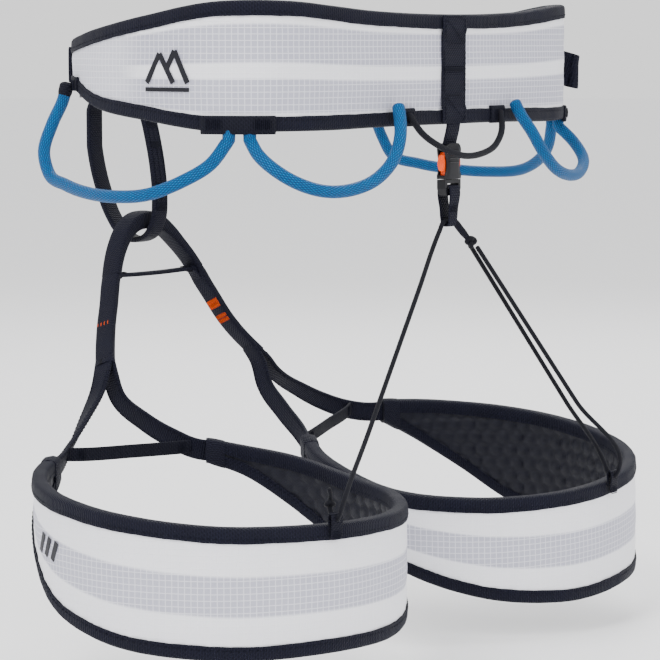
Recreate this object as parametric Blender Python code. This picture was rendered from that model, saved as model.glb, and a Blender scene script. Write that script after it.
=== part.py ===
"""Climbing harness: a padded waist belt, four gear loops, a belay loop and two leg loops.

The frame has +Z up and -Y to the wearer's front, so the wearer's left is +X. The origin is the
centre of the waist opening. Sizes are in millimetres and become metres where meshes are made.
Left-side pieces are laid out first and mirrored for the right side.
"""

import math

import bmesh
import bpy
import numpy as np
from mathutils import Matrix, Vector

MM = 0.001
GAP = 0.3

# Waist belt, left half from the front to the back: x, y of the outer face, top edge, bottom edge.
BELT_STATIONS = (
    (4, -175, 11, -11),
    (30, -171, 12, -12),
    (62, -154, 13, -12.5),
    (95, -128, 14.5, -13),
    (131, -93, 17, -13.6),
    (150, -60, 21.6, -22),
    (158, -20, 28, -27),
    (153, 26, 35, -32),
    (141, 44, 35.6, -32),
    (122, 54, 35, -32),
    (98, 59, 33, -32),
    (75, 62, 31, -31.5),
    (40, 64, 29.5, -31),
    (0, 64.5, 29, -31),
)
BELT_SAMPLES = 47
SHELL = 0.9
WEBBING = 1.2
FOAM = 3.5
BINDING = 0.8
BINDING_REACH = 8.0
BELT_WEBBING_BANDS = {
    "waist_webbing_top": (0.80, 0.985),
    "waist_webbing_middle": (0.44, 0.56),
    "waist_webbing_bottom": (0.015, 0.20),
}

# Leg loop, left: a ring seen from above, by the angle in degrees from its front towards the outside.
LEG_CENTRE = (118.7, -1.8)
LEG_RADIUS = 99.8
LEG_SAMPLES = 31
LEG_RIM = (
    (22, -211.4, 14.7),
    (38, -214.1, 29.4),
    (52, -216.6, 43.1),
    (68, -219.2, 58.8),
    (90, -222.9, 67.2),
    (128, -228.2, 68.8),
    (165, -229.8, 67.2),
    (200, -231.3, 65.6),
    (233, -230.8, 57.8),
    (262, -227.8, 44.1),
    (288, -219, 27.3),
    (301, -215.6, 17.9),
    (314, -211.4, 13.7),
)
LEG_WEBBING_BANDS = {"webbing_top": (0.66, 0.975), "webbing_bottom": (0.025, 0.34)}

# The right leg loop hangs a little lower and rolls a little inwards.
RIGHT_DROP = 5.0
RIGHT_SHIFT = 7.0
RIGHT_ROLL = math.radians(4.5)
RIGHT_PITCH = math.radians(-2.0)

# Bridge between the leg loops: x, y, z, thickness. The band keeps its width along Y.
ARCH = (
    (0, -162.5, -92.5, 11),
    (9, -162.4, -93.8, 10),
    (18, -161.5, -99, 8),
    (26, -159.5, -107, 6.2),
    (33, -156.5, -116, 5),
    (37.5, -154, -123.5, 4.5),
)
STEM = (
    (38.2, -153.6, -124.6, 4.5),
    (46.6, -147.9, -137.1, 4.5),
    (59.9, -138.5, -155.5, 4.5),
    (73.5, -126.7, -171.5, 4.5),
)
BRIDGE_WIDTH = 12.0
CROSSBAR_Z = -123.5
CROSSBAR_HALF = 33.0

# Straps that join a stem to the front of its leg loop.
OUTER_STRAP = (
    (76, -126.2, -173.2),
    (83, -123.5, -183.6),
    (102.9, -116.2, -199.3),
    (127.1, -105.7, -212.9),
    (143.8, -96.9, -218),
    (153.2, -92.2, -218.7),
)
INNER_STRAP = (
    (71.3, -125.4, -174.6),
    (70.8, -119.9, -189.3),
    (66.2, -102.5, -203),
    (60.4, -86.3, -211.9),
    (55, -76.1, -216.6),
    (50.3, -70.2, -218.1),
)
ELASTIC_STRAP = ((129.2, -99.6, -214), (92.4, -87.8, -215.2), (59.9, -77.1, -215.6))
STRAP_WIDTH = 12.0
STRAP_THICK = 3.0

# Belay loop, seen from the side: y, z of its middle line. Its front strand is straight at the top.
BELAY_LOOP = (
    (-180, -16.1),
    (-189, -16.2),
    (-197, -20.2),
    (-201.6, -28),
    (-202.2, -42),
    (-199.8, -58),
    (-194, -76),
    (-186.5, -91),
    (-177, -101.5),
    (-166.5, -104.6),
    (-156.5, -101.5),
    (-150.4, -92),
    (-149, -78),
    (-150.5, -62),
    (-154, -45),
    (-158.6, -30),
    (-163.4, -21),
    (-171, -16.4),
)
BELAY_WIDTH = 11.0
BELAY_THICK = 3.2
BELAY_FRONT = -201.5
BELAY_PIVOT = (0, -174.7, -20)

# Upper tie-in loop, seen from the front: x, z of its middle line.
TIE_IN = ((-27, -14.2), (-24, -17.6), (-13, -20.2), (0, -20.6), (13, -20.2), (24, -17.6), (27, -14.2))
TIE_IN_Y = -179.5
TIE_IN_WIDTH = 22.0
TIE_IN_THICK = 2.4

GEAR_LOOP_RADIUS = 3.4
FRONT_GEAR_LOOP = (
    (135.4, -96.5, -10),
    (137.0, -97.4, -17),
    (144.5, -98.5, -30),
    (152.5, -97.5, -46),
    (155, -91, -57.5),
    (160, -75, -62),
    (167, -53, -65.3),
    (172, -30, -66.3),
    (171, -4, -64),
    (165, 12, -57.5),
    (156.4, 24.5, -48.3),
    (149.9, 31, -36.2),
)
REAR_GEAR_LOOP = (
    (143.6, 39.9, -36.2),
    (146, 47.8, -43.8),
    (141, 59, -53.5),
    (123, 68.5, -61.8),
    (101, 74, -62.2),
    (84, 76.8, -57.2),
    (70, 77.6, -47),
    (62, 75.6, -36),
    (57, 71.8, -27),
    (55, 69.2, -20.5),
)
HAUL_LOOP = (
    (-43, 67.6, -25),
    (-41, 70, -33),
    (-30, 74, -42),
    (-12, 77, -47),
    (8, 77.4, -47.5),
    (25, 75.5, -42.5),
    (38, 71.5, -34),
    (43, 67.6, -25),
)
HAUL_RADIUS = 1.7

BACK_STRAP_WIDTH = 22.0
HANGER_WIDTH = 12.0

# Rear buckle: outer sizes and heights.
BUCKLE_Y = 63.0
BUCKLE_TOP = -41.4
BUCKLE_MOUTH = -61.0
BUCKLE_WIDTH = 15.0
BUCKLE_DEPTH = 7.0
BUCKLE_WALL = 1.4
WINDOW_TOP = -46.8
WINDOW_BOTTOM = -57.4
PRONG_TRAVEL = 1.4
MALE_BOTTOM = -70.0
EYE_Z = -84.4

# Elastic riser cords.
CORD_RADIUS = 1.2
CORD_STEP = 7.0
CORD_SPLIT_Z = -150.0
KNOT = (-17, 66, -96.5)
LEFT_TAB_ANGLE = 165
RIGHT_TAB_ANGLE = 180
TAB_PROUD = 2.4

# Waist strap and its buckle on the wearer's right.
WAIST_STRAP_WIDTH = 20.0
WAIST_STRAP_THICK = 1.8
WAIST_STRAP_LIFT = 3.1
WAIST_BUCKLE_AT = 0.862
BUCKLE_LIFT = 8.1
KEEPER_AT = 0.752
STRAP_LEAVES_AT = 0.70
TAIL_END = (-171.2, 41, -6.4)

LEG_PIVOT = (0, -154, -123.5)

PIVOTS = {
    "waist": ((0, 0, 0), None),
    "belay_loop": (BELAY_PIVOT, "waist"),
    "haul_loop": ((0, 67.6, -25), "waist"),
    "buckle_male": ((0, BUCKLE_Y, BUCKLE_MOUTH), "waist"),
    "prong_left": ((4.3, BUCKLE_Y, BUCKLE_MOUTH), "buckle_male"),
    "prong_right": ((-4.3, BUCKLE_Y, BUCKLE_MOUTH), "buckle_male"),
    "leg_left": (LEG_PIVOT, "waist"),
    "leg_right": (LEG_PIVOT, "waist"),
}

MATERIALS = {
    "white_ripstop": ((0.86, 0.86, 0.89), 0.55, 0.0),
    "black_webbing": ((0.012, 0.013, 0.022), 0.7, 0.0),
    "black_mesh": ((0.015, 0.016, 0.026), 0.85, 0.0),
    "white_webbing": ((0.8, 0.8, 0.82), 0.7, 0.0),
    "blue_sheath": ((0.0, 0.16, 0.47), 0.45, 0.0),
    "black_plastic": ((0.012, 0.012, 0.016), 0.35, 0.0),
    "orange_plastic": ((0.95, 0.22, 0.02), 0.4, 0.0),
    "black_metal": ((0.03, 0.03, 0.035), 0.3, 0.9),
}


def clear_scene():
    for obj in list(bpy.data.objects):
        bpy.data.objects.remove(obj, do_unlink=True)


def smooth(points, count, measured=3):
    """Evenly spaced points on a smooth curve through the given ones.

    The length is measured on the first columns only, so further columns ride along.
    """
    given = np.array(points, float)
    spans = np.linalg.norm(np.diff(given[:, :measured], axis=0), axis=1)[:, None]
    slopes = np.diff(given, axis=0) / spans
    inner = (spans[1:] * slopes[:-1] + spans[:-1] * slopes[1:]) / (spans[1:] + spans[:-1])
    tangents = np.vstack([slopes[:1], inner, slopes[-1:]])
    fine = []
    for i, span in enumerate(spans):
        for t in np.linspace(0, 1, 12, endpoint=False):
            lead = (2 * t**3 - 3 * t**2 + 1) * given[i] + (3 * t**2 - 2 * t**3) * given[i + 1]
            bend = (t**3 - 2 * t**2 + t) * tangents[i] + (t**3 - t**2) * tangents[i + 1]
            fine.append(lead + span * bend)
    fine.append(given[-1])
    fine = np.array(fine)
    steps = np.linalg.norm(np.diff(fine[:, :measured], axis=0), axis=1)
    run = np.concatenate([[0], np.cumsum(steps)])
    want = np.linspace(0, run[-1], count)
    return np.column_stack([np.interp(want, run, column) for column in fine.T])


def with_normals(rows):
    """Adds the outward direction in plan to rows of x, y, top, bottom."""
    along = np.gradient(rows[:, :2], axis=0)
    along /= np.linalg.norm(along, axis=1)[:, None]
    return np.column_stack([rows[:, :2], along[:, 1], -along[:, 0], rows[:, 2:]])


def belt_rows():
    """Rows of the belt from the front left round the back to the front right."""
    half = [row for row in BELT_STATIONS]
    mirrored = [(-x, y, top, bottom) for x, y, top, bottom in reversed(half[:-1])]
    return with_normals(smooth(half + mirrored, BELT_SAMPLES, measured=2))


def leg_rows():
    """Rows of the left leg loop from its outer front round the back to its inner front."""
    stations = []
    for angle, top, height in LEG_RIM:
        turn = math.radians(angle)
        x = LEG_CENTRE[0] + LEG_RADIUS * math.sin(turn)
        y = LEG_CENTRE[1] - LEG_RADIUS * math.cos(turn)
        stations.append((x, y, top, top - height))
    return with_normals(smooth(stations, LEG_SAMPLES, measured=2))


def leg_pose(side):
    """Maps left-side points to the given side: the right is mirrored, lowered and rolled."""
    if side == "left":
        return Matrix.Identity(4)
    centre = Matrix.Translation((-LEG_CENTRE[0], LEG_CENTRE[1], -230))
    turn = Matrix.Rotation(RIGHT_ROLL, 4, "Y") @ Matrix.Rotation(RIGHT_PITCH, 4, "X")
    drop = Matrix.Translation((RIGHT_SHIFT, 0, -RIGHT_DROP))
    mirror = Matrix.Diagonal((-1, 1, 1, 1))
    return drop @ centre @ turn @ centre.inverted() @ mirror


def stem_point(side, point):
    """A point of a stem: it leaves the arch unmoved and reaches the leg loop's own pose."""
    top, foot = STEM[0][2], STEM[-1][2]
    share = min(max((point[2] - top) / (foot - top), 0), 1)
    mirrored = Vector((point[0] if side == "left" else -point[0], point[1], point[2]))
    return mirrored.lerp(leg_pose(side) @ Vector(point), share)


def material(name):
    found = bpy.data.materials.get(name)
    if found:
        return found
    color, roughness, metallic = MATERIALS[name]
    made = bpy.data.materials.new(name)
    made.use_nodes = True
    shader = made.node_tree.nodes["Principled BSDF"]
    shader.inputs["Base Color"].default_value = (*color, 1)
    shader.inputs["Roughness"].default_value = roughness
    shader.inputs["Metallic"].default_value = metallic
    made.diffuse_color = (*color, 1)
    return made


def add_computed_pivots():
    """The gear loops turn about the line through their ends, the slider about its own hinge."""
    for place, points in (("front", FRONT_GEAR_LOOP), ("rear", REAR_GEAR_LOOP)):
        x, y, z = (Vector(points[0]) + Vector(points[-1])) / 2
        PIVOTS[f"gear_loop_{place}_left"] = ((x, y, z), "waist")
        PIVOTS[f"gear_loop_{place}_right"] = ((-x, y, z), "waist")
    PIVOTS["waist_slider"] = (tuple(slider_hinge().translation), "waist")


def add_pivots():
    for body, (point, parent) in PIVOTS.items():
        empty = bpy.data.objects.new("pivot_" + body, None)
        bpy.context.scene.collection.objects.link(empty)
        above = Vector(PIVOTS[parent][0]) if parent else Vector((0, 0, 0))
        empty.location = (Vector(point) - above) * MM
        if parent:
            empty.parent = bpy.data.objects["pivot_" + parent]


def add_object(name, body, look, mesh):
    """Hangs a mesh, given in metres and world coordinates, on the empty of its body."""
    pivot = Vector(PIVOTS[body][0]) * MM
    mesh.transform(Matrix.Translation(-pivot))
    mesh.materials.append(material(look))
    mesh.shade_smooth()
    mesh.set_sharp_from_angle(angle=math.radians(38))
    obj = bpy.data.objects.new(name, mesh)
    bpy.context.scene.collection.objects.link(obj)
    obj.parent = bpy.data.objects["pivot_" + body]
    return obj


def loft(rings, closed=False):
    """A mesh skinned over rings of points in millimetres, with its ends capped unless closed."""
    made = bmesh.new()
    loops = [[made.verts.new(Vector(point) * MM) for point in ring] for ring in rings]
    pairs = list(zip(loops, loops[1:]))
    if closed:
        pairs.append((loops[-1], loops[0]))
    else:
        made.faces.new(loops[0])
        made.faces.new(loops[-1])
    for one, two in pairs:
        for i in range(len(one)):
            made.faces.new((one[i - 1], one[i], two[i], two[i - 1]))
    bmesh.ops.recalc_face_normals(made, faces=made.faces)
    mesh = bpy.data.meshes.new("loft")
    made.to_mesh(mesh)
    made.free()
    return mesh


def band(rows, section, pose=None):
    """A mesh along plan rows; section gives the depth and height points for a row's edges."""
    place = pose or Matrix.Identity(4)
    rings = []
    for x, y, nx, ny, top, bottom in rows:
        ring = [(x + nx * d, y + ny * d, z) for d, z in section(top, bottom)]
        rings.append([place @ Vector(point) for point in ring])
    return loft(rings)


def slab(outer, inner, low, high):
    """Section of a flat layer between two depths and two shares of the height inside the bindings."""

    def section(top, bottom):
        inset = BINDING + 1.5 * GAP
        base, span = bottom + inset, top - bottom - 2 * inset
        z_low, z_high = base + span * low, base + span * high
        return ((outer, z_low), (outer, z_high), (inner, z_high), (inner, z_low))

    return section


def binding_section(upper):
    """Section of a tape folded over the top or bottom edge of the layers."""
    out, back = BINDING + GAP, -(2 * GAP + SHELL + WEBBING + FOAM + BINDING + GAP)

    def section(top, bottom):
        reach = min(BINDING_REACH, 0.46 * (top - bottom))
        edge, sign = (top, -1) if upper else (bottom, 1)
        lip, fold = edge + sign * reach, edge + sign * BINDING
        return (
            (out, lip),
            (out, edge),
            (back, edge),
            (back, lip),
            (back + BINDING, lip),
            (back + BINDING, fold),
            (out - BINDING, fold),
            (out - BINDING, lip),
        )

    return section


def add_layers(prefix, body, rows, bands, pose=None):
    """Outer fabric, load-bearing webbing bands, foam and the two bindings of a belt or leg loop."""
    web_out = -(SHELL + GAP)
    foam_out = web_out - WEBBING - GAP
    shell = band(rows, slab(0, -SHELL, 0, 1), pose)
    add_object(prefix + "shell", body, "white_ripstop", shell)
    foam = band(rows, slab(foam_out, foam_out - FOAM, 0, 1), pose)
    add_object(prefix + "foam", body, "black_mesh", foam)
    for name, (low, high) in bands.items():
        strip = band(rows, slab(web_out, web_out - WEBBING, low, high), pose)
        add_object(name, body, "white_webbing", strip)
    for name, upper in (("binding_top", True), ("binding_bottom", False)):
        tape = band(rows, binding_section(upper), pose)
        add_object(prefix + name, body, "black_webbing", tape)


def strap(path, wide_start, wide_end, width, thick, closed=False):
    """A flat band along path points; its width direction turns from one vector to the other.

    A fourth column of the path, where present, gives the thickness.
    """
    points = np.array([tuple(p)[:3] for p in path], float)
    thickness = [p[3] if len(p) > 3 else thick for p in path]
    if closed:
        along = np.roll(points, -1, axis=0) - np.roll(points, 1, axis=0)
    else:
        along = np.gradient(points, axis=0)
    rings = []
    for i, point in enumerate(points):
        share = i / (len(points) - 1)
        tangent = Vector(along[i]).normalized()
        wide = Vector(wide_start).lerp(Vector(wide_end), share)
        wide = (wide - tangent * wide.dot(tangent)).normalized()
        flat = tangent.cross(wide)
        a, b = wide * width / 2, flat * thickness[i] / 2
        middle = Vector(point)
        rings.append([middle + a + b, middle + a - b, middle - a - b, middle - a + b])
    return loft(rings, closed)


def tube(name, body, look, radius, paths):
    """A round cord along one or more paths, as a bevelled curve with filled ends."""
    curve = bpy.data.curves.new(name, "CURVE")
    curve.dimensions = "3D"
    curve.bevel_depth = radius * MM
    curve.bevel_resolution = 2
    curve.use_fill_caps = True
    pivot = Vector(PIVOTS[body][0])
    for path in paths:
        spline = curve.splines.new("POLY")
        spline.points.add(len(path) - 1)
        for knot, point in zip(spline.points, path):
            knot.co = (*((Vector(tuple(point)[:3]) - pivot) * MM), 1)
    curve.materials.append(material(look))
    obj = bpy.data.objects.new(name, curve)
    bpy.context.scene.collection.objects.link(obj)
    obj.parent = bpy.data.objects["pivot_" + body]
    return obj


def box(size, place, bevel=0.0):
    """A box of the given size in millimetres, placed by a matrix in millimetres."""
    made = bmesh.new()
    bmesh.ops.create_cube(made, size=1)
    bmesh.ops.scale(made, vec=Vector(size), verts=made.verts)
    if bevel:
        bmesh.ops.bevel(made, geom=made.edges, offset=bevel, segments=1, affect="EDGES")
    bmesh.ops.transform(made, matrix=Matrix.Scale(MM, 4) @ place, verts=made.verts)
    mesh = bpy.data.meshes.new("box")
    made.to_mesh(mesh)
    made.free()
    return mesh


def cut(obj, body, tools):
    """Subtracts box meshes from an object with exact Booleans; the cutters stay as wire guides."""
    for number, mesh in enumerate(tools):
        cutter = add_object(f"cutter_{obj.name}_{number}", body, "black_plastic", mesh)
        cutter.hide_render = True
        cutter.display_type = "WIRE"
        step = obj.modifiers.new("cut", "BOOLEAN")
        step.operation = "DIFFERENCE"
        step.solver = "EXACT"
        step.object = cutter


def belt_frame(share):
    """Point, outward and along directions on the belt's outer face at a share of its length."""
    rows = belt_rows()
    at = share * (len(rows) - 1)
    low = int(at)
    mixed = rows[low] + (rows[min(low + 1, len(rows) - 1)] - rows[low]) * (at - low)
    out = Vector((mixed[2], mixed[3], 0)).normalized()
    return Vector((mixed[0], mixed[1], 0)), out, out.cross(Vector((0, 0, 1)))


def belt_place(share, proud, z):
    """Matrix at a place on the belt: local X along the belt, Y outwards, Z up."""
    point, out, along = belt_frame(share)
    turn = Matrix((along, out, Vector((0, 0, 1)))).transposed().to_4x4()
    return Matrix.Translation(point + out * proud + Vector((0, 0, z))) @ turn


def add_back_strap():
    rows = [row for row in belt_rows()]
    middle = rows[len(rows) // 2]
    top, bottom = middle[4] - BINDING_REACH - GAP, middle[5] + BINDING_REACH + GAP
    place = belt_place(0.5, GAP + 0.5 + 0.15, (top + bottom) / 2)
    mesh = box((BACK_STRAP_WIDTH, 1.0, top - bottom), place)
    add_object("back_strap", "waist", "black_webbing", mesh)


def add_waist_strap():
    """The adjusting strap: from the left front across the buckle to its free, folded end."""
    path = []
    for share in (*np.linspace(0.11, 0, 8), *np.linspace(1, STRAP_LEAVES_AT, 26)):
        point, out, _ = belt_frame(share)
        path.append(point + out * WAIST_STRAP_LIFT + Vector((0, 0, 1)))
    onward = (path[-1] - path[-2]).normalized()
    end = Vector(TAIL_END)
    for share in (0.25, 0.5, 0.75, 1.0):
        straight = path[33] + onward * (end - path[33]).length * share
        path.append(straight.lerp(path[33].lerp(end, share), 0.4 + 0.6 * share))
    up = (0, 0, 1)
    mesh = strap(path, up, up, WAIST_STRAP_WIDTH, WAIST_STRAP_THICK)
    add_object("waist_strap", "waist", "black_webbing", mesh)


def buckle_plate():
    """Middle of the adjusting buckle's frame, standing clear of the strap under it."""
    return belt_place(WAIST_BUCKLE_AT, BUCKLE_LIFT, 1)


def slider_hinge():
    return buckle_plate() @ Matrix.Translation((-11.5, 3.0, 0))


def add_waist_buckle():
    plate = buckle_plate()
    frame = add_object("waist_buckle_frame", "waist", "black_metal", box((30, 2.6, 27), plate, 0.8))
    cut(frame, "waist", [box((8, 10, 21), plate @ Matrix.Translation((x, 0, 0))) for x in (-8, 7)])
    middle = slider_hinge() @ Matrix.Translation((7.4, 0, 0))
    slider = box((14, 2.4, 23), middle, 0.8)
    piece = add_object("waist_buckle_slider", "waist_slider", "black_metal", slider)
    cut(piece, "waist_slider", [box((5, 10, 17), middle)])
    anchor = belt_place(WAIST_BUCKLE_AT - 0.018, WAIST_STRAP_LIFT + 2.2, 1)
    mesh = box((17, 1.6, 19), anchor)
    add_object("waist_buckle_anchor", "waist", "black_webbing", mesh)


def add_tail_keeper():
    """Elastic ring round the strap that holds its free end."""
    place = belt_place(KEEPER_AT, WAIST_STRAP_LIFT + 0.4, 1)
    outer = box((8, 5.0, WAIST_STRAP_WIDTH + 4.4), place)
    keeper = add_object("tail_keeper", "waist", "black_webbing", outer)
    cut(keeper, "waist", [box((20, 3.4, WAIST_STRAP_WIDTH + 2.6), place)])


def add_tie_in_loop():
    path = [(x, TIE_IN_Y, z) for x, z in TIE_IN]
    mesh = strap(smooth(path, 17), (0, 1, 0), (0, 1, 0), TIE_IN_WIDTH, TIE_IN_THICK)
    add_object("tie_in_loop", "waist", "black_webbing", mesh)


def add_belay_loop():
    path = [(0, y, z) for y, z in BELAY_LOOP]
    rows = smooth(path + path[:1], 53)[:-1]
    rows[:, 1] = np.maximum(rows[:, 1], BELAY_FRONT)
    mesh = strap(rows, (1, 0, 0), (1, 0, 0), BELAY_WIDTH, BELAY_THICK, closed=True)
    add_object("belay_loop", "belay_loop", "black_webbing", mesh)


def add_bridge():
    left = [row for row in ARCH]
    right = [(-x, y, z, thick) for x, y, z, thick in reversed(ARCH[1:])]
    rows = smooth(right + left, 19)
    mesh = strap(rows, (0, 1, 0), (0, 1, 0), BRIDGE_WIDTH, 0)
    add_object("bridge_arch", "waist", "black_webbing", mesh)
    bar = box((2 * CROSSBAR_HALF, 6, 3), Matrix.Translation((0, LEG_PIVOT[1], CROSSBAR_Z)))
    add_object("bridge_crossbar", "waist", "black_webbing", bar)


def add_gear_loops():
    for place, points, count in (("front", FRONT_GEAR_LOOP, 25), ("rear", REAR_GEAR_LOOP, 20)):
        for side, sign in (("left", 1), ("right", -1)):
            path = smooth([(sign * x, y, z) for x, y, z in points], count)
            name = f"gear_loop_{place}_{side}"
            tube(name, name, "blue_sheath", GEAR_LOOP_RADIUS, [path])


def add_haul_loop():
    tube("haul_loop", "haul_loop", "black_webbing", HAUL_RADIUS, [smooth(HAUL_LOOP, 20)])


def add_rear_buckle():
    """Two-part side-release buckle: a socket on the belt and a plug on the riser cords."""
    hanger_top, hanger_foot = -31.4, BUCKLE_TOP + 0.0
    middle = Matrix.Translation((0, BUCKLE_Y - 1, (hanger_top + hanger_foot + GAP) / 2))
    mesh = box((HANGER_WIDTH, 1.4, hanger_top - hanger_foot - GAP), middle)
    add_object("buckle_hanger", "waist", "black_webbing", mesh)
    height = BUCKLE_TOP - BUCKLE_MOUTH
    body = box(
        (BUCKLE_WIDTH, BUCKLE_DEPTH, height),
        Matrix.Translation((0, BUCKLE_Y, (BUCKLE_TOP + BUCKLE_MOUTH) / 2)),
        0.9,
    )
    socket = add_object("buckle_socket", "waist", "black_plastic", body)
    inner = BUCKLE_WIDTH - 2 * BUCKLE_WALL
    hollow_top = BUCKLE_TOP - 3.4
    hollow = box(
        (inner, BUCKLE_DEPTH - 2 * BUCKLE_WALL, hollow_top - BUCKLE_MOUTH + 4),
        Matrix.Translation((0, BUCKLE_Y, (hollow_top + BUCKLE_MOUTH - 4) / 2)),
    )
    windows = box(
        (BUCKLE_WIDTH + 8, BUCKLE_DEPTH - 2 * BUCKLE_WALL, WINDOW_TOP - WINDOW_BOTTOM),
        Matrix.Translation((0, BUCKLE_Y, (WINDOW_TOP + WINDOW_BOTTOM) / 2)),
    )
    cut(socket, "waist", [hollow, windows])


def extrude_outline(outline, depth, middle_y):
    """A prism of an outline of x, z points, extruded along Y about a middle plane."""
    back = [(x, middle_y - depth / 2, z) for x, z in outline]
    front = [(x, middle_y + depth / 2, z) for x, z in outline]
    return loft([back, front])


def add_buckle_plug():
    top = BUCKLE_MOUTH - GAP
    outline = (
        (-7.3, top),
        (7.3, top),
        (7.3, top - 5),
        (5.6, MALE_BOTTOM),
        (-5.6, MALE_BOTTOM),
        (-7.3, top - 5),
    )
    base = extrude_outline(outline, 5.6, BUCKLE_Y)
    plug = add_object("buckle_plug", "buckle_male", "black_plastic", base)
    slot = box((10.4, 20, 3.0), Matrix.Translation((0, BUCKLE_Y, -64.8)))
    cut(plug, "buckle_male", [slot])
    guide = box(
        (2.2, 3.0, 13.5),
        Matrix.Translation((0, BUCKLE_Y, top + 6.75 - 0.5)),
        0.4,
    )
    tongue = add_object("plug_guide_tool", "buckle_male", "black_plastic", guide)
    tongue.hide_render = True
    tongue.display_type = "WIRE"
    join = plug.modifiers.new("join", "BOOLEAN")
    join.operation = "UNION"
    join.solver = "EXACT"
    join.object = tongue
    for side, sign in (("left", 1), ("right", -1)):
        add_prong(side, sign, top)


def add_prong(side, sign, foot):
    """A springy arm of the plug whose bulge shows in the socket's side window."""
    low, high = WINDOW_BOTTOM + 0.5, WINDOW_TOP - 0.5
    bulge = []
    for step in range(9):
        turn = math.pi * step / 8
        middle, half = (low + high) / 2, (high - low) / 2
        bulge.append((5.5 + 2.9 * math.sin(turn), middle - half * math.cos(turn)))
    outline = [(3.2, foot + 1.0), (5.4, foot + 1.0), *bulge, (5.2, high + 1.0), (3.2, high + 1.0)]
    points = [(sign * x, z) for x, z in outline]
    mesh = extrude_outline(points, BUCKLE_DEPTH - 2 * BUCKLE_WALL - 0.7, BUCKLE_Y)
    add_object("release_prong_" + side, "prong_" + side, "orange_plastic", mesh)


def add_plug_webbing():
    """Webbing folded round the plug's bar, whose lower fold is the eye for the cord."""
    half = ((0.5, -64.6), (3.2, -65.1), (4.1, -67.6), (4.0, -71), (3.1, -77), (2.7, -83), (1.8, -86.4))
    right = [(0, BUCKLE_Y + y, z) for y, z in half]
    left = [(0, BUCKLE_Y - y, z) for y, z in reversed(half)]
    rows = smooth(right + left + right[:1], 33)[:-1]
    mesh = strap(rows, (1, 0, 0), (1, 0, 0), 9.0, 0.9, closed=True)
    add_object("plug_webbing", "buckle_male", "black_webbing", mesh)


def rim_point(side, angle, proud, rise):
    """A point near the top edge of a leg loop, at an angle in degrees and a distance outwards."""
    angles, tops, _ = np.array(LEG_RIM, float).T
    turn = math.radians(angle)
    reach = LEG_RADIUS + proud
    x = LEG_CENTRE[0] + reach * math.sin(turn)
    y = LEG_CENTRE[1] - reach * math.cos(turn)
    return leg_pose(side) @ Vector((x, y, np.interp(angle, angles, tops) + rise))


def add_riser_tab(side, angle):
    """Small webbing eye sewn to the outer face of a leg loop's top binding."""
    low, high = rim_point("left", angle, TAB_PROUD, -7), rim_point("left", angle, TAB_PROUD, 6.5)
    out = Vector((math.sin(math.radians(angle)), -math.cos(math.radians(angle)), 0))
    along = out.cross(Vector((0, 0, 1)))
    turn = Matrix((along, out, Vector((0, 0, 1)))).transposed().to_4x4()
    pose = leg_pose(side)
    middle = pose @ Matrix.Translation((low + high) / 2) @ turn
    eye = pose @ Matrix.Translation(high - Vector((0, 0, 3.8))) @ turn
    mesh = box((7.4, 1.8, 13.5), middle)
    tab = add_object(f"riser_tab_{side}", f"leg_{side}", "black_webbing", outward_mesh(mesh))
    cut(tab, f"leg_{side}", [outward_mesh(box((4.4, 12, 4.2), eye))])


def outward_mesh(mesh):
    """Turns the faces outwards again after a mirroring matrix."""
    made = bmesh.new()
    made.from_mesh(mesh)
    bmesh.ops.recalc_face_normals(made, faces=made.faces)
    made.to_mesh(mesh)
    made.free()
    return mesh


def eye_turn(side, angle):
    """A half turn of cord through a riser tab's eye, from its outer to its inner side."""
    half = ((4.6, 7.6), (3.4, 4.8), (1.9, 2.9))
    turn = [*half, (0, 2.3), *[(-proud, rise) for proud, rise in reversed(half)]]
    return [rim_point(side, angle, TAB_PROUD + proud, rise) for proud, rise in turn]


def split_point(start, end):
    share = (CORD_SPLIT_Z - start[2]) / (end[2] - start[2])
    return Vector(start).lerp(Vector(end), share)


def thinned(rows, reach, turn):
    """Keeps the points of a fine path that are a reach apart, and closer ones where it bends."""
    kept = [rows[0]]
    heading = Vector(rows[1] - rows[0])
    for here, onward in zip(rows[1:], rows[2:]):
        step = Vector(onward - here)
        if np.linalg.norm(here - kept[-1]) > reach or step.angle(heading) > turn:
            kept.append(here)
            heading = step
    return [*kept, rows[-1]]


def add_cord(name, body, points):
    fine = smooth([tuple(point) for point in points], 200)
    rows = thinned(fine, CORD_STEP, math.radians(18))
    tube(name, body, "black_webbing", CORD_RADIUS, [rows])


def below(point, target):
    """A point a fitting gap further on from one point towards another."""
    return point + (target - point).normalized() * GAP


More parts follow.
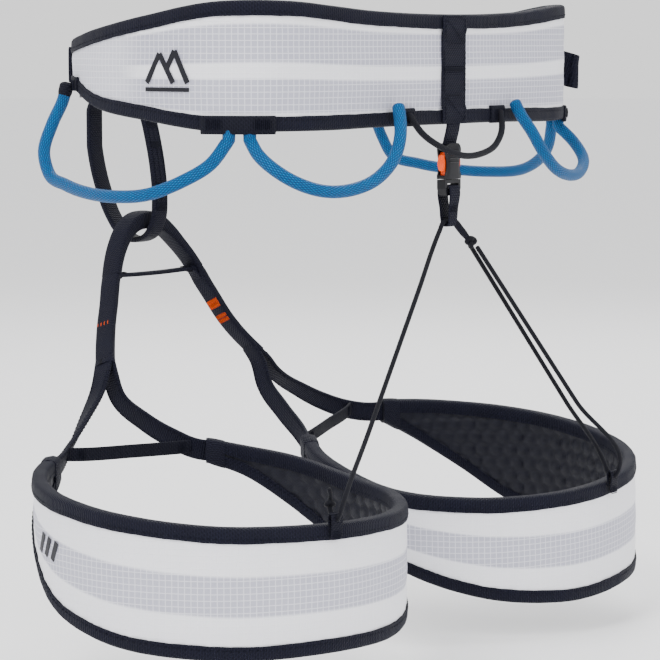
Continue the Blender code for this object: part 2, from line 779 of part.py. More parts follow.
def add_riser_cords():
    """One elastic cord: single to the left leg loop, doubled from a knot to the right one."""
    left_turn = eye_turn("left", LEFT_TAB_ANGLE)
    left_start = Vector((9, BUCKLE_Y + 0.4, -89))
    left_mid = split_point(left_start, left_turn[0])
    knot = Vector(KNOT)
    reach = Vector((-10, BUCKLE_Y + 1, -89.4))
    upper = [left_mid, left_mid.lerp(left_start, 0.5), left_start, (5.2, BUCKLE_Y, EYE_Z - 0.4)]
    upper += [(0, BUCKLE_Y, EYE_Z), (-5.2, BUCKLE_Y, EYE_Z - 0.4), reach]
    upper.append(knot + (reach - knot).normalized() * 4.2)
    add_cord("riser_cord_upper", "waist", upper)
    low_start = below(left_mid, left_turn[0])
    tail = left_turn[-1] + Vector((0, 0, 5))
    left = [low_start, low_start.lerp(left_turn[0], 0.5), *left_turn, tail]
    add_cord("riser_cord_left", "leg_left", left)
    right_turn = eye_turn("right", RIGHT_TAB_ANGLE)
    lower = []
    for name, end in (("outer", right_turn[0]), ("inner", right_turn[-1])):
        aside = Vector((0, 2.0 if name == "outer" else -2.0, 0))
        start = knot + (end - knot).normalized() * 5.2 + aside
        mid = split_point(start, end)
        add_cord("riser_strand_" + name, "waist", [start, start.lerp(mid, 0.5), mid])
        low = below(mid, end)
        lower.append([low, low.lerp(end, 0.5)])
    hairpin = [*lower[0], *right_turn, *reversed(lower[1])]
    add_cord("riser_cord_right", "leg_right", hairpin)
    ball = bmesh.new()
    bmesh.ops.create_icosphere(ball, subdivisions=1, radius=3.6 * MM)
    bmesh.ops.translate(ball, vec=knot * MM, verts=ball.verts)
    mesh = bpy.data.meshes.new("knot")
    ball.to_mesh(mesh)
    ball.free()
    add_object("riser_knot", "buckle_male", "black_webbing", mesh)


def add_leg(side):
    body = f"leg_{side}"
    pose = leg_pose(side)
    bands = {f"leg_{side}_{name}": shares for name, shares in LEG_WEBBING_BANDS.items()}
    add_layers(f"leg_{side}_", body, leg_rows(), bands, pose)
    stem = [(*stem_point(side, row[:3]), row[3]) for row in smooth(STEM, 9)]
    mesh = strap(stem, (0, 1, 0), (0, 1, 0), BRIDGE_WIDTH, 0)
    add_object(f"bridge_stem_{side}", body, "black_webbing", mesh)
    straps = (("outer", OUTER_STRAP), ("inner", INNER_STRAP))
    for name, points in straps:
        path = [pose @ Vector(point) for point in points]
        rows = smooth([tuple(p) for p in path], 13)
        mesh = strap(rows, (0, 1, 0), (0, 0, 1), STRAP_WIDTH, STRAP_THICK)
        add_object(f"leg_{side}_{name}_strap", body, "black_webbing", mesh)
    path = [tuple(pose @ Vector(point)) for point in ELASTIC_STRAP]
    mesh = strap(smooth(path, 8), (0, 0, 1), (0, 0, 1), 8.0, 1.6)
    add_object(f"leg_{side}_elastic", body, "black_webbing", mesh)


def main():
    clear_scene()
    add_computed_pivots()
    add_pivots()
    add_layers("waist_", "waist", belt_rows(), BELT_WEBBING_BANDS)
    add_back_strap()
    add_waist_strap()
    add_waist_buckle()
    add_tail_keeper()
    add_tie_in_loop()
    add_belay_loop()
    add_bridge()
    add_gear_loops()
    add_haul_loop()
    add_rear_buckle()
    add_buckle_plug()
    add_plug_webbing()
    for side in ("left", "right"):
        add_leg(side)
    add_riser_tab("left", LEFT_TAB_ANGLE)
    add_riser_tab("right", RIGHT_TAB_ANGLE)
    add_riser_cords()


main()
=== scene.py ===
"""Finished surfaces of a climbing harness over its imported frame.

Lengths are in millimetres up to the point where a mesh is made, which is in metres.
"""

import math

import bmesh
import bpy
import numpy as np
from mathutils import Matrix, Vector


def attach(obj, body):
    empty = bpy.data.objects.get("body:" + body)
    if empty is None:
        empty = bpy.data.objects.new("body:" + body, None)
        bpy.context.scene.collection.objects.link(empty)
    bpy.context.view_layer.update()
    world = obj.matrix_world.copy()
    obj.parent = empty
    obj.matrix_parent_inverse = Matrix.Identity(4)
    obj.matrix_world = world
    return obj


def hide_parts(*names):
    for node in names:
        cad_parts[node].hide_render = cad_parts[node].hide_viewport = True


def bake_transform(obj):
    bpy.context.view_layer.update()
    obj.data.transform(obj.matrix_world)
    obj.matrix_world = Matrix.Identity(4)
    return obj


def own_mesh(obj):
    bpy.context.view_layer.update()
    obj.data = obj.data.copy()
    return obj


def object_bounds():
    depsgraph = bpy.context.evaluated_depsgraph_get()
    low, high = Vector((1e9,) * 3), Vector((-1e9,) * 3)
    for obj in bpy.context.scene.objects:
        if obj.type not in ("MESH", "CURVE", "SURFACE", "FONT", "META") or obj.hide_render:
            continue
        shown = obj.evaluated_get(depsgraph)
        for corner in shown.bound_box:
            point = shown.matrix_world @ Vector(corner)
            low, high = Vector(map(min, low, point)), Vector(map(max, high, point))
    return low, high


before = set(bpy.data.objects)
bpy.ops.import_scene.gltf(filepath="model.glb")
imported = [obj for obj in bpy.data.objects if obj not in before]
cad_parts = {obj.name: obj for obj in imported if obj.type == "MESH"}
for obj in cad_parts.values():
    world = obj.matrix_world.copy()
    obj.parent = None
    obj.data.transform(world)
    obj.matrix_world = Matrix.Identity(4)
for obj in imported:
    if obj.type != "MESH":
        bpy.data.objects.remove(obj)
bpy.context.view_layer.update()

MM = 0.001

# Waist belt, left half from the front to the back: x, y of the outer face, top edge, bottom edge.
BELT_STATIONS = (
    (4, -175, 11, -11), (30, -171, 12, -12), (62, -154, 13, -12.5), (95, -128, 14.5, -13),
    (131, -93, 17, -13.6), (150, -60, 21.6, -22), (158, -20, 28, -27), (153, 26, 35, -32),
    (141, 44, 35.6, -32), (122, 54, 35, -32), (98, 59, 33, -32), (75, 62, 31, -31.5),
    (40, 64, 29.5, -31), (0, 64.5, 29, -31),
)
LEG_CENTRE = (118.7, -1.8)
LEG_RADIUS = 99.8
LEG_RIM = (
    (22, -211.4, 14.7), (38, -214.1, 29.4), (52, -216.6, 43.1), (68, -219.2, 58.8),
    (90, -222.9, 67.2), (128, -228.2, 68.8), (165, -229.8, 67.2), (200, -231.3, 65.6),
    (233, -230.8, 57.8), (262, -227.8, 44.1), (288, -219, 27.3), (301, -215.6, 17.9),
    (314, -211.4, 13.7),
)
RIGHT_DROP = 5.0
RIGHT_SHIFT = 7.0
RIGHT_ROLL = math.radians(4.5)
RIGHT_PITCH = math.radians(-2.0)
BINDING_REACH = 8.0
FULL_HEIGHT = 55
OUT = 1.1
BACK = -7.3

ARCH = (
    (0, -162.5, -92.5, 11), (9, -162.4, -93.8, 10), (18, -161.5, -99, 8), (26, -159.5, -107, 6.2),
    (33, -156.5, -116, 5), (37.5, -154, -123.5, 4.5),
)
STEM = (
    (38.2, -153.6, -124.6, 4.5), (46.6, -147.9, -137.1, 4.5), (59.9, -138.5, -155.5, 4.5),
    (73.5, -126.7, -171.5, 4.5),
)
OUTER_STRAP = (
    (76, -126.2, -173.2), (83, -123.5, -183.6), (102.9, -116.2, -199.3), (127.1, -105.7, -212.9),
    (143.8, -96.9, -218), (153.2, -92.2, -218.7),
)
INNER_STRAP = (
    (71.3, -125.4, -174.6), (70.8, -119.9, -189.3), (66.2, -102.5, -203), (60.4, -86.3, -211.9),
    (55, -76.1, -216.6), (50.3, -70.2, -218.1),
)
ELASTIC_STRAP = ((129.2, -99.6, -214), (92.4, -87.8, -215.2), (59.9, -77.1, -215.6))
BELAY_LOOP = (
    (-180, -16.1), (-189, -16.2), (-197, -20.2), (-201.6, -28), (-202.2, -42), (-199.8, -58),
    (-194, -76), (-186.5, -91), (-177, -101.5), (-166.5, -104.6), (-156.5, -101.5), (-150.4, -92),
    (-149, -78), (-150.5, -62), (-154, -45), (-158.6, -30), (-163.4, -21), (-171, -16.4),
)
TIE_IN = (
    (-27, -14.2), (-24, -17.6), (-13, -20.2), (0, -20.6), (13, -20.2), (24, -17.6), (27, -14.2),
)
FRONT_GEAR_LOOP = (
    (135.4, -96.5, -10), (137.0, -97.4, -17), (144.5, -98.5, -30), (152.5, -97.5, -46),
    (155, -91, -57.5), (160, -75, -62), (167, -53, -65.3), (172, -30, -66.3), (171, -4, -64),
    (165, 12, -57.5), (156.4, 24.5, -48.3), (149.9, 31, -36.2),
)
REAR_GEAR_LOOP = (
    (143.6, 39.9, -36.2), (146, 47.8, -43.8), (141, 59, -53.5), (123, 68.5, -61.8),
    (101, 74, -62.2), (84, 76.8, -57.2), (70, 77.6, -47), (62, 75.6, -36), (57, 71.8, -27),
    (55, 69.2, -20.5),
)
HAUL_LOOP = (
    (-43, 67.6, -25), (-41, 70, -33), (-30, 74, -42), (-12, 77, -47), (8, 77.4, -47.5),
    (25, 75.5, -42.5), (38, 71.5, -34), (43, 67.6, -25),
)
STRAP_LIFT = 3.1
TAIL_END = (-171.2, 41, -6.4)
BUCKLE_Y = 63.0
EYE_Z = -84.4
SPLIT_Z = -150.0
KNOT = Vector((-17, 66, -96.5))
TAB_PROUD = 2.4
CORD_RADIUS = 1.3
LEFT_TAB_ANGLE = 165
RIGHT_TAB_ANGLE = 180

# The photo's view: azimuth and elevation in degrees, distance and target in metres.
CAMERA_ANGLES = (128, 6)
CAMERA_DISTANCE = 1.6
CAMERA_TARGET = Vector((0, -0.020, -0.150))
CAMERA_LENS = 152.7

UP = Vector((0, 0, 1))
ACROSS = (1, 0, 0)
REARWARD = (0, 1, 0)


def run_of(path):
    """Distance along a path at each of its points, from 0."""
    steps = np.linalg.norm(np.diff(np.array(path, float), axis=0), axis=1)
    return np.concatenate([[0], np.cumsum(steps)])


def smooth(points, count, measured=3):
    """Evenly spaced points on a smooth curve through the given ones."""
    given = np.array(points, float)
    spans = np.linalg.norm(np.diff(given[:, :measured], axis=0), axis=1)[:, None]
    slopes = np.diff(given, axis=0) / spans
    inner = (spans[1:] * slopes[:-1] + spans[:-1] * slopes[1:]) / (spans[1:] + spans[:-1])
    tangents = np.vstack([slopes[:1], inner, slopes[-1:]])
    fine = []
    for i, span in enumerate(spans):
        for t in np.linspace(0, 1, 16, endpoint=False):
            lead = (2 * t**3 - 3 * t**2 + 1) * given[i] + (3 * t**2 - 2 * t**3) * given[i + 1]
            bend = (t**3 - 2 * t**2 + t) * tangents[i] + (t**3 - t**2) * tangents[i + 1]
            fine.append(lead + span * bend)
    fine.append(given[-1])
    fine = np.array(fine)
    run = run_of(fine[:, :measured])
    want = np.linspace(0, run[-1], count)
    return np.column_stack([np.interp(want, run, column) for column in fine.T])


def leg_pose(side):
    if side == "left":
        return Matrix.Identity(4)
    centre = Matrix.Translation((-LEG_CENTRE[0], LEG_CENTRE[1], -230))
    turn = Matrix.Rotation(RIGHT_ROLL, 4, "Y") @ Matrix.Rotation(RIGHT_PITCH, 4, "X")
    drop = Matrix.Translation((RIGHT_SHIFT, 0, -RIGHT_DROP))
    mirror = Matrix.Diagonal((-1, 1, 1, 1))
    return drop @ centre @ turn @ centre.inverted() @ mirror


class Wall:
    """The outer face of the belt or a leg loop, with places given by run, depth and height."""

    def __init__(self, stations, pose=None):
        rows = smooth(stations, 700, measured=2)
        along = np.gradient(rows[:, :2], axis=0)
        along /= np.linalg.norm(along, axis=1)[:, None]
        self.run = run_of(rows[:, :2])
        self.length = float(self.run[-1])
        self.rows = np.column_stack([rows[:, :2], along[:, 1], -along[:, 0], rows[:, 2:]])
        self.pose = np.array(pose or Matrix.Identity(4))

    def row(self, s):
        return np.stack([np.interp(s, self.run, column) for column in self.rows.T], -1)

    def place(self, s, proud, z):
        row = self.row(s)
        x = row[..., 0] + row[..., 2] * proud
        y = row[..., 1] + row[..., 3] * proud
        points = np.stack([x, y, z + 0 * x, 1 + 0 * x], -1)
        return (points @ self.pose.T)[..., :3]

    def nearest(self, x, y):
        """Run of the place nearest to a plan point, before posing."""
        return float(self.run[np.argmin(np.hypot(self.rows[:, 0] - x, self.rows[:, 1] - y))])


def belt_wall():
    mirrored = [(-x, y, top, bottom) for x, y, top, bottom in reversed(BELT_STATIONS[:-1])]
    return Wall([*BELT_STATIONS, *mirrored])


def leg_plan(angle, radius):
    """A plan point at a clockwise angle round the left leg loop, from its front."""
    turn = math.radians(angle)
    return LEG_CENTRE[0] + radius * math.sin(turn), LEG_CENTRE[1] - radius * math.cos(turn)


def leg_wall(side):
    stations = []
    for angle, top, height in LEG_RIM:
        stations.append((*leg_plan(angle, LEG_RADIUS), top, top - height))
    return Wall(stations, leg_pose(side))


# --- materials ---


class Shader:
    """A small helper that builds one procedural material on the 'metres' and 'share' UV maps."""

    def __init__(self, name, color, roughness, **sockets):
        self.material = bpy.data.materials.new(name)
        self.material.use_nodes = True
        self.tree = self.material.node_tree
        self.shader = self.tree.nodes["Principled BSDF"]
        self.shader.inputs["Base Color"].default_value = (*color, 1)
        self.shader.inputs["Roughness"].default_value = roughness
        for socket, value in sockets.items():
            self.shader.inputs[socket.replace("_", " ")].default_value = value
        self.material.diffuse_color = (*color, 1)

    def add(self, kind, **settings):
        node = self.tree.nodes.new(kind)
        for key, value in settings.items():
            setattr(node, key, value)
        return node

    def link(self, source, target):
        if isinstance(source, (int, float)):
            target.default_value = source
        else:
            self.tree.links.new(source, target)

    def axes(self, uv_map):
        split = self.add("ShaderNodeSeparateXYZ")
        self.link(self.add("ShaderNodeUVMap", uv_map=uv_map).outputs[0], split.inputs[0])
        return split.outputs[0], split.outputs[1]

    def math(self, operation, a, b=0.0, c=0.0):
        node = self.add("ShaderNodeMath", operation=operation)
        self.link(a, node.inputs[0])
        self.link(b, node.inputs[1])
        self.link(c, node.inputs[2])
        return node.outputs[0]

    def times(self, a, b):
        return self.math("MULTIPLY", a, b)

    def plus(self, a, b):
        return self.math("ADD", a, b)

    def wave(self, coordinate, pitch):
        """Sine of a coordinate, from -1 to 1."""
        return self.math("SINE", self.math("MULTIPLY_ADD", coordinate, 2 * math.pi / pitch, 0.0))

    def grid_lines(self, coordinate, pitch, share):
        """1 on thin lines a pitch apart and 0 between them, with soft sides."""
        place = self.math("FRACT", self.math("DIVIDE", coordinate, pitch))
        near = self.math("ABSOLUTE", self.math("SUBTRACT", place, 0.5))
        ramp = self.add("ShaderNodeMapRange", interpolation_type="SMOOTHSTEP")
        self.link(near, ramp.inputs[0])
        ramp.inputs[1].default_value = share
        ramp.inputs[2].default_value = share * 0.35
        return ramp.outputs[0]

    def noise(self, scale, detail):
        node = self.add("ShaderNodeTexNoise")
        self.link(self.add("ShaderNodeTexCoord").outputs["Object"], node.inputs["Vector"])
        node.inputs["Scale"].default_value = scale
        node.inputs["Detail"].default_value = detail
        return node.outputs[0]

    def blend_colors(self, factor, one, two):
        node = self.add("ShaderNodeMix", data_type="RGBA")
        self.link(factor, node.inputs[0])
        for color, socket in ((one, node.inputs[6]), (two, node.inputs[7])):
            if isinstance(color, tuple):
                socket.default_value = (*color, 1)
            else:
                self.link(color, socket)
        return node.outputs[2]

    def color(self, output):
        self.link(output, self.shader.inputs["Base Color"])

    def roughness(self, factor, low, high):
        node = self.add("ShaderNodeMapRange")
        self.link(factor, node.inputs[0])
        node.inputs[3].default_value = low
        node.inputs[4].default_value = high
        self.link(node.outputs[0], self.shader.inputs["Roughness"])

    def bump(self, height, distance):
        node = self.add("ShaderNodeBump")
        node.inputs["Distance"].default_value = distance
        node.inputs["Strength"].default_value = 1.0
        self.link(height, node.inputs["Height"])
        self.link(node.outputs[0], self.shader.inputs["Normal"])


def ripstop(name, bands, fade=None):
    """Light fabric with a raised grid. Bands are light where backing webbing shows through."""
    pale = (0.90, 0.90, 0.94)
    made = Shader(name, (0.72, 0.72, 0.78), 0.48, Sheen_Weight=0.05)
    u, v = made.axes("metres")
    share_u, share_v = made.axes("share")
    lines = made.math("MAXIMUM", made.grid_lines(u, 0.0033, 0.11), made.grid_lines(v, 0.0033, 0.11))
    fine = made.times(made.wave(u, 0.0009), made.wave(v, 0.0009))
    ramp = made.add("ShaderNodeValToRGB")
    ramp.color_ramp.interpolation = "LINEAR"
    made.link(share_v, ramp.inputs[0])
    stops = ramp.color_ramp.elements
    stops[0].position, stops[0].color = 0.0, (*(3 * [bands[0][1]]), 1)
    stops[1].position, stops[1].color = 1.0, (*(3 * [bands[-1][1]]), 1)
    for (_, before), (edge, level) in zip(bands, bands[1:]):
        for place, value in ((edge - 0.012, before), (edge + 0.012, level)):
            stops.new(place).color = (value, value, value, 1)
    level = ramp.outputs[0]
    if fade:
        side = made.math("ABSOLUTE", made.math("SUBTRACT", share_u, 0.5))
        edge = made.add("ShaderNodeMapRange", interpolation_type="SMOOTHSTEP")
        made.link(side, edge.inputs[0])
        edge.inputs[1].default_value, edge.inputs[2].default_value = fade
        kept = made.math("SUBTRACT", 1.0, edge.outputs[0])
        level = made.plus(made.times(level, kept), made.times(edge.outputs[0], 0.42))
    cloth = made.blend_colors(level, (0.29, 0.29, 0.39), pale)
    cloudy = made.noise(38.0, 4.0)
    soiled = made.blend_colors(made.times(cloudy, 0.10), cloth, pale)
    gridded = made.blend_colors(made.times(lines, 0.55), soiled, pale)
    grain = made.math("MULTIPLY_ADD", fine, 0.05, 0.05)
    made.color(made.blend_colors(grain, gridded, (0.55, 0.55, 0.62)))
    made.roughness(cloudy, 0.38, 0.62)
    made.bump(made.plus(made.times(lines, 0.7), made.times(fine, 0.35)), 0.00016)
    return made.material


def tape(name, color, light, pitch=0.0011, roughness=0.62, cross=0.0022):
    """Woven tape: ribs across its length, crossed by a finer twill."""
    made = Shader(name, color, roughness, Sheen_Weight=0.01, Specular_IOR_Level=0.13)
    u, v = made.axes("metres")
    ribs = made.wave(u, pitch)
    twill = made.wave(made.plus(u, v), cross)
    worn = made.noise(60.0, 5.0)
    height = made.plus(made.times(ribs, 0.6), made.times(twill, 0.4))
    # Colour: the raised rib and twill crests get a painted highlight in the second colour, patchy
    # where the noise is high
    rib_highlight = made.times(made.math("MULTIPLY_ADD", height, 0.5, 0.5), worn)
    made.color(made.blend_colors(rib_highlight, color, light))
    made.roughness(worn, roughness - 0.12, roughness + 0.16)
    made.bump(height, 0.00028)
    return made.material


def braid(name, color, light, dark, lay, strands, roughness=0.42, depth=0.00035):
    """Braided sheath: two sets of strands that cross diagonally round the cord."""
    made = Shader(name, color, roughness, Sheen_Weight=0.01, Specular_IOR_Level=0.16)
    u, _ = made.axes("metres")
    _, around = made.axes("share")
    one = made.math("MULTIPLY_ADD", around, strands, made.math("DIVIDE", u, lay))
    two = made.math("MULTIPLY_ADD", around, -strands, made.math("DIVIDE", u, lay))
    first = made.math("ABSOLUTE", made.math("SINE", made.times(one, math.pi)))
    second = made.math("ABSOLUTE", made.math("SINE", made.times(two, math.pi)))
    height = made.times(first, second)
    glint_and_roughness_noise = made.noise(420.0, 2.0)
    # Colour: painted shade in the grooves between strands in the dark colour, and a painted
    # highlight on the strand crests in the light colour, scattered by noise
    mixed = made.blend_colors(height, dark, color)
    made.color(made.blend_colors(made.times(made.times(height, glint_and_roughness_noise), 0.7), mixed, light))
    made.roughness(glint_and_roughness_noise, roughness - 0.1, roughness + 0.2)
    made.bump(height, depth)
    return made.material


def spacer_mesh(name):
    """Black knitted spacer: small eyelets over the dimpled pad."""
    made = Shader(name, (0.004, 0.0045, 0.009), 0.72, Sheen_Weight=0.01, Specular_IOR_Level=0.24)
    u, v = made.axes("metres")
    rows = made.times(made.wave(u, 0.0021), made.wave(v, 0.0017))
    holes = made.math("GREATER_THAN", rows, 0.42)
    fuzz = made.noise(300.0, 3.0)
    lit = made.blend_colors(made.times(fuzz, 0.6), (0.002, 0.0022, 0.007), (0.010, 0.011, 0.024))
    # The eyelet holes are painted darker: painted shade in the holes
    made.color(made.blend_colors(holes, lit, (0.0012, 0.0012, 0.0025)))
    made.roughness(fuzz, 0.38, 0.6)
    made.bump(made.math("SUBTRACT", made.times(fuzz, 0.2), holes), 0.0005)
    return made.material


def moulded(name, color, roughness, grain=900.0, depth=0.00004, metallic=0.0):
    """Moulded plastic or coated metal with a fine grain and small roughness changes."""
    made = Shader(name, color, roughness, Metallic=metallic, Specular_IOR_Level=0.3)
    fine = made.noise(grain, 2.0)
    wide = made.noise(90.0, 4.0)
    lighter = tuple(min(channel * 1.6 + 0.002, 1) for channel in color)
    made.color(made.blend_colors(made.times(wide, 0.35), color, lighter))
    made.roughness(wide, roughness - 0.1, roughness + 0.14)
    made.bump(fine, depth)
    return made.material


def thread(name, color):
    """Twisted sewing thread."""
    made = Shader(name, color, 0.6, Specular_IOR_Level=0.1)
    u, v = made.axes("metres")
    twist = made.wave(made.plus(u, v), 0.0004)
    lighter = tuple(min(channel * 2.0 + 0.004, 1) for channel in color)
    # Colour: a painted highlight on the crests of the twist
    made.color(made.blend_colors(made.math("MULTIPLY_ADD", twist, 0.4, 0.4), color, lighter))
    made.bump(twist, 0.0001)
    return made.material


def make_materials():
    belt_bands = ((0.0, 0.9), (0.13, 0.12), (0.40, 0.85), (0.53, 0.12), (0.83, 0.9))
    leg_bands = ((0.0, 0.92), (0.33, 0.15), (0.64, 0.92))
    # The second colour given to each tape is its painted rib highlight; each braid's second colour
    # is a painted highlight and its third a painted shade in the grooves
    navy, navy_highlight = (0.0018, 0.002, 0.0075), (0.009, 0.010, 0.024)
    return {
        "belt": ripstop("ripstop_belt", belt_bands, fade=(0.235, 0.262)),
        "leg": ripstop("ripstop_leg", leg_bands),
        "binding": tape("binding_tape", navy, navy_highlight, pitch=0.0014),
        "webbing": tape("black_webbing", navy, navy_highlight, pitch=0.0013, cross=0.0021),
        "elastic": tape("elastic_tape", (0.0016, 0.0018, 0.006), (0.009, 0.010, 0.021), 0.0012),
        "white_webbing": tape("white_webbing", (0.62, 0.62, 0.65), (0.82, 0.82, 0.84), 0.0019),
        "mesh": spacer_mesh("spacer_mesh"),
        "blue": braid("blue_sheath", (0.0, 0.085, 0.27), (0.0, 0.22, 0.52), (0.0, 0.016, 0.07),
                      lay=0.0031, strands=8.0),
        "cord": braid("black_cord", (0.002, 0.0022, 0.006), (0.012, 0.013, 0.026),
                      (0.0008, 0.0008, 0.002), lay=0.0017, strands=6.0, roughness=0.55,
                      depth=0.0002),
        "plastic": moulded("black_plastic", (0.002, 0.002, 0.004), 0.36),
        "orange": moulded("orange_plastic", (0.95, 0.075, 0.0), 0.34),
        "metal": moulded("black_anodised", (0.006, 0.006, 0.009), 0.24, grain=1500.0,
                         depth=0.00002, metallic=0.6),
        "thread": thread("dark_thread", (0.004, 0.0045, 0.011)),
        "print": moulded("dark_print", (0.002, 0.002, 0.006), 0.5, grain=1200.0),
        "orange_yarn": thread("orange_yarn", (0.95, 0.075, 0.004)),
    }


LOOKS = make_materials()


# --- mesh helpers ---


class Build:
    """Collects several swept bodies into one object."""

    def __init__(self):
        self.points, self.faces, self.metres, self.share = [], [], [], []

    def add(self, rings, metres=None, share=None, closed=False):
        """Joins rings of points to a skin, with a face over each end unless it is closed."""
        rings = np.array(rings, float)
        count, width = rings.shape[:2]
        start = len(self.points)
        for i in range(count if closed else count - 1):
            one, two = start + i * width, start + ((i + 1) % count) * width
            for j in range(width):
                k = (j + 1) % width
                self.faces.append((one + j, one + k, two + k, two + j))
        if not closed:
            self.faces.append(tuple(start + j for j in range(width)))
            last = start + (count - 1) * width
            self.faces.append(tuple(last + j for j in reversed(range(width))))
        self.points += rings.reshape(-1, 3).tolist()
        for kept, values in ((self.metres, metres), (self.share, share)):
            flat = np.zeros((count * width, 2)) if values is None else np.array(values)
            kept += flat.reshape(-1, 2).tolist()

    def make(self, name, body, look, replaces=(), sharp=60):
        """Makes the object from its millimetre points and hangs it on a body of the frame."""
        mesh = bpy.data.meshes.new(name)
        mesh.from_pydata((np.array(self.points, float) * MM).tolist(), [], self.faces)
        made = bmesh.new()
        made.from_mesh(mesh)
        bmesh.ops.recalc_face_normals(made, faces=made.faces)
        made.to_mesh(mesh)
        made.free()
        corners = np.empty(len(mesh.loops), int)
        mesh.loops.foreach_get("vertex_index", corners)
        for title, values in (("metres", self.metres), ("share", self.share)):
            layer = mesh.uv_layers.new(name=title)
            places = np.array(values, float)[corners].astype(np.float32)
            layer.data.foreach_set("uv", places.ravel())
        mesh.materials.append(LOOKS[look])
        mesh.shade_smooth()
        mesh.set_sharp_from_angle(angle=math.radians(sharp))
        obj = bpy.data.objects.new(name, mesh)
        bpy.context.scene.collection.objects.link(obj)
        if body:
            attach(obj, body)
        if replaces:
            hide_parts(*replaces)
        return obj


def unit(vector):
    return vector / np.linalg.norm(vector)


def square_to(wide, along):
    """The part of a direction at right angles to a tangent, at length 1."""
    return unit(np.array(wide, float) - along * np.dot(wide, along))


def frames(path, closed=False):
    """Tangents of a path and normals carried along it without twisting."""
    path = np.array(path, float)
    if closed:
        along = np.roll(path, -1, axis=0) - np.roll(path, 1, axis=0)
    else:
        along = np.gradient(path, axis=0)
    along /= np.linalg.norm(along, axis=1)[:, None]
    normal = np.cross(along[0], (0.3, 0.2, 1.0))
    normals = []
    for tangent in along:
        normal = square_to(normal, tangent)
        normals.append(normal)
    return along, np.array(normals)


def add_tube(build, path, radius, sides=14, round_ends=True, closed=False):
    """A round cord along a path; its ends are domed. Radius may be one value per point."""
    path = np.array([tuple(p)[:3] for p in path], float)
    radii = np.broadcast_to(np.array(radius, float), len(path)).copy()
    if round_ends and not closed:
        lead, tail = unit(path[1] - path[0]), unit(path[-1] - path[-2])
        caps = ((0.35, 0.94), (0.7, 0.72), (0.95, 0.3))
        front = [path[0] - lead * radii[0] * reach * 0.6 for reach, _ in reversed(caps)]
        back = [path[-1] + tail * radii[-1] * reach * 0.6 for reach, _ in caps]
        narrow = [radii[0] * s for _, s in reversed(caps)]
        radii = np.concatenate([narrow, radii, [radii[-1] * s for _, s in caps]])
        path = np.vstack([front, path, back])
    along, normal = frames(path, closed)
    side = np.cross(along, normal)
    turn = np.linspace(0, 2 * math.pi, sides, endpoint=False)
    cosines, sines = np.cos(turn)[None, :, None], np.sin(turn)[None, :, None]
    ring = normal[:, None, :] * cosines + side[:, None, :] * sines
    rings = path[:, None, :] + ring * radii[:, None, None]
    run = run_of(path)
    metres = np.stack(np.broadcast_arrays(run[:, None] * MM, turn[None, :] * radii.mean() * MM), -1)
    half = np.minimum(turn, 2 * math.pi - turn) / math.pi
    share = np.stack(np.broadcast_arrays(run[:, None] / run[-1], half[None, :]), -1)
    build.add(rings, metres, share, closed)


RIM = ((0.5, 0.28), (0.5, -0.28), (0.47, -0.44), (0.40, -0.5), (0.2, -0.5), (0, -0.5), (-0.2, -0.5),
       (-0.40, -0.5), (-0.47, -0.44), (-0.5, -0.28), (-0.5, 0.28), (-0.47, 0.44), (-0.40, 0.5),
       (-0.2, 0.5), (0, 0.5), (0.2, 0.5), (0.40, 0.5), (0.47, 0.44))


def turned(wide_start, wide_end=None):
    """Width directions that turn from one vector to the other along a path."""
    wide_end = wide_start if wide_end is None else wide_end

    def width_at(share):
        return np.array(wide_start, float) * (1 - share) + np.array(wide_end, float) * share

    return width_at


def add_strap(build, path, width_at, width, thick, closed=False, soft=0.0):
    """Flat webbing with rounded selvedges along a path. A fourth column gives the thickness."""
    rows = np.array([tuple(p) for p in path], float)
    points = rows[:, :3]
    depth = rows[:, 3] if rows.shape[1] > 3 else np.full(len(rows), float(thick))
    along, _ = frames(points, closed)
    run = run_of(points)
    rings, metres = [], []
    widths = np.broadcast_to(np.array(width, float), len(points))
    for i, point in enumerate(points):
        wide = square_to(width_at(i / (len(points) - 1)), along[i])
        flat = np.cross(along[i], wide)
        sway = soft * math.sin(run[i] * 0.21) * math.sin(run[i] * 0.047 + 1)
        ring = []
        for a, b in RIM:
            crown = 1 - 0.12 * (2 * a) ** 2
            ring.append(point + wide * a * widths[i] + flat * (b * depth[i] * crown + sway))
        rings.append(ring)
        metres.append([(run[i] * MM, a * widths[i] * MM) for a, _ in RIM])
    build.add(rings, metres, closed=closed)


def strap_piece(name, body, look, path, width_at, width, thick, closed=False, soft=0.0,
                replaces=()):
    build = Build()
    add_strap(build, path, width_at, width, thick, closed, soft)
    return build.make(name, body, look, replaces)


def tube_piece(name, body, look, path, radius, sides=14, replaces=()):
    build = Build()
    add_tube(build, path, radius, sides)
    return build.make(name, body, look, replaces)


def add_wrap(build, centre, along, wide, half_flat, half_wide, length, thick):
    """A short oval sleeve round something that runs along a direction."""
    along = unit(np.array(along, float))
    wide = square_to(wide, along)
    flat = np.cross(along, wide)
    loop = []
    for degrees in range(0, 360, 12):
        turn = math.radians(degrees)
        c, s = math.cos(turn), math.sin(turn)
        a = half_wide * math.copysign(abs(s) ** 0.75, s)
        b = half_flat * math.copysign(abs(c) ** 0.85, c)
        loop.append(np.array(centre, float) + wide * a + flat * b)
    add_strap(build, loop, turned(along), length, thick, closed=True)


def stitch(build, start, end, out, radius=0.24, sink=0.2):
    """One thread stitch that dips at both ends."""
    start, end, out = np.array(start), np.array(end), np.array(out)
    path = []
    for share in (0, 0.25, 0.5, 0.75, 1):
        rise = math.sin(math.pi * share) * 0.3 - sink
        path.append(start + (end - start) * share + out * rise)
    add_tube(build, path, radius, 6, round_ends=False)


def stitch_row(build, points, out, pitch=3.4, length=2.5):
    """Stitches along a line of points, with the outward direction at each point."""
    points, out = np.array(points, float), np.array(out, float)
    run = run_of(points)

    def at(place, values):
        return [np.interp(place, run, column) for column in values.T]

    for start in np.arange(0.6, run[-1] - length, pitch):
        middle = start + length / 2
        stitch(build, at(start, points), at(start + length, points), at(middle, out))


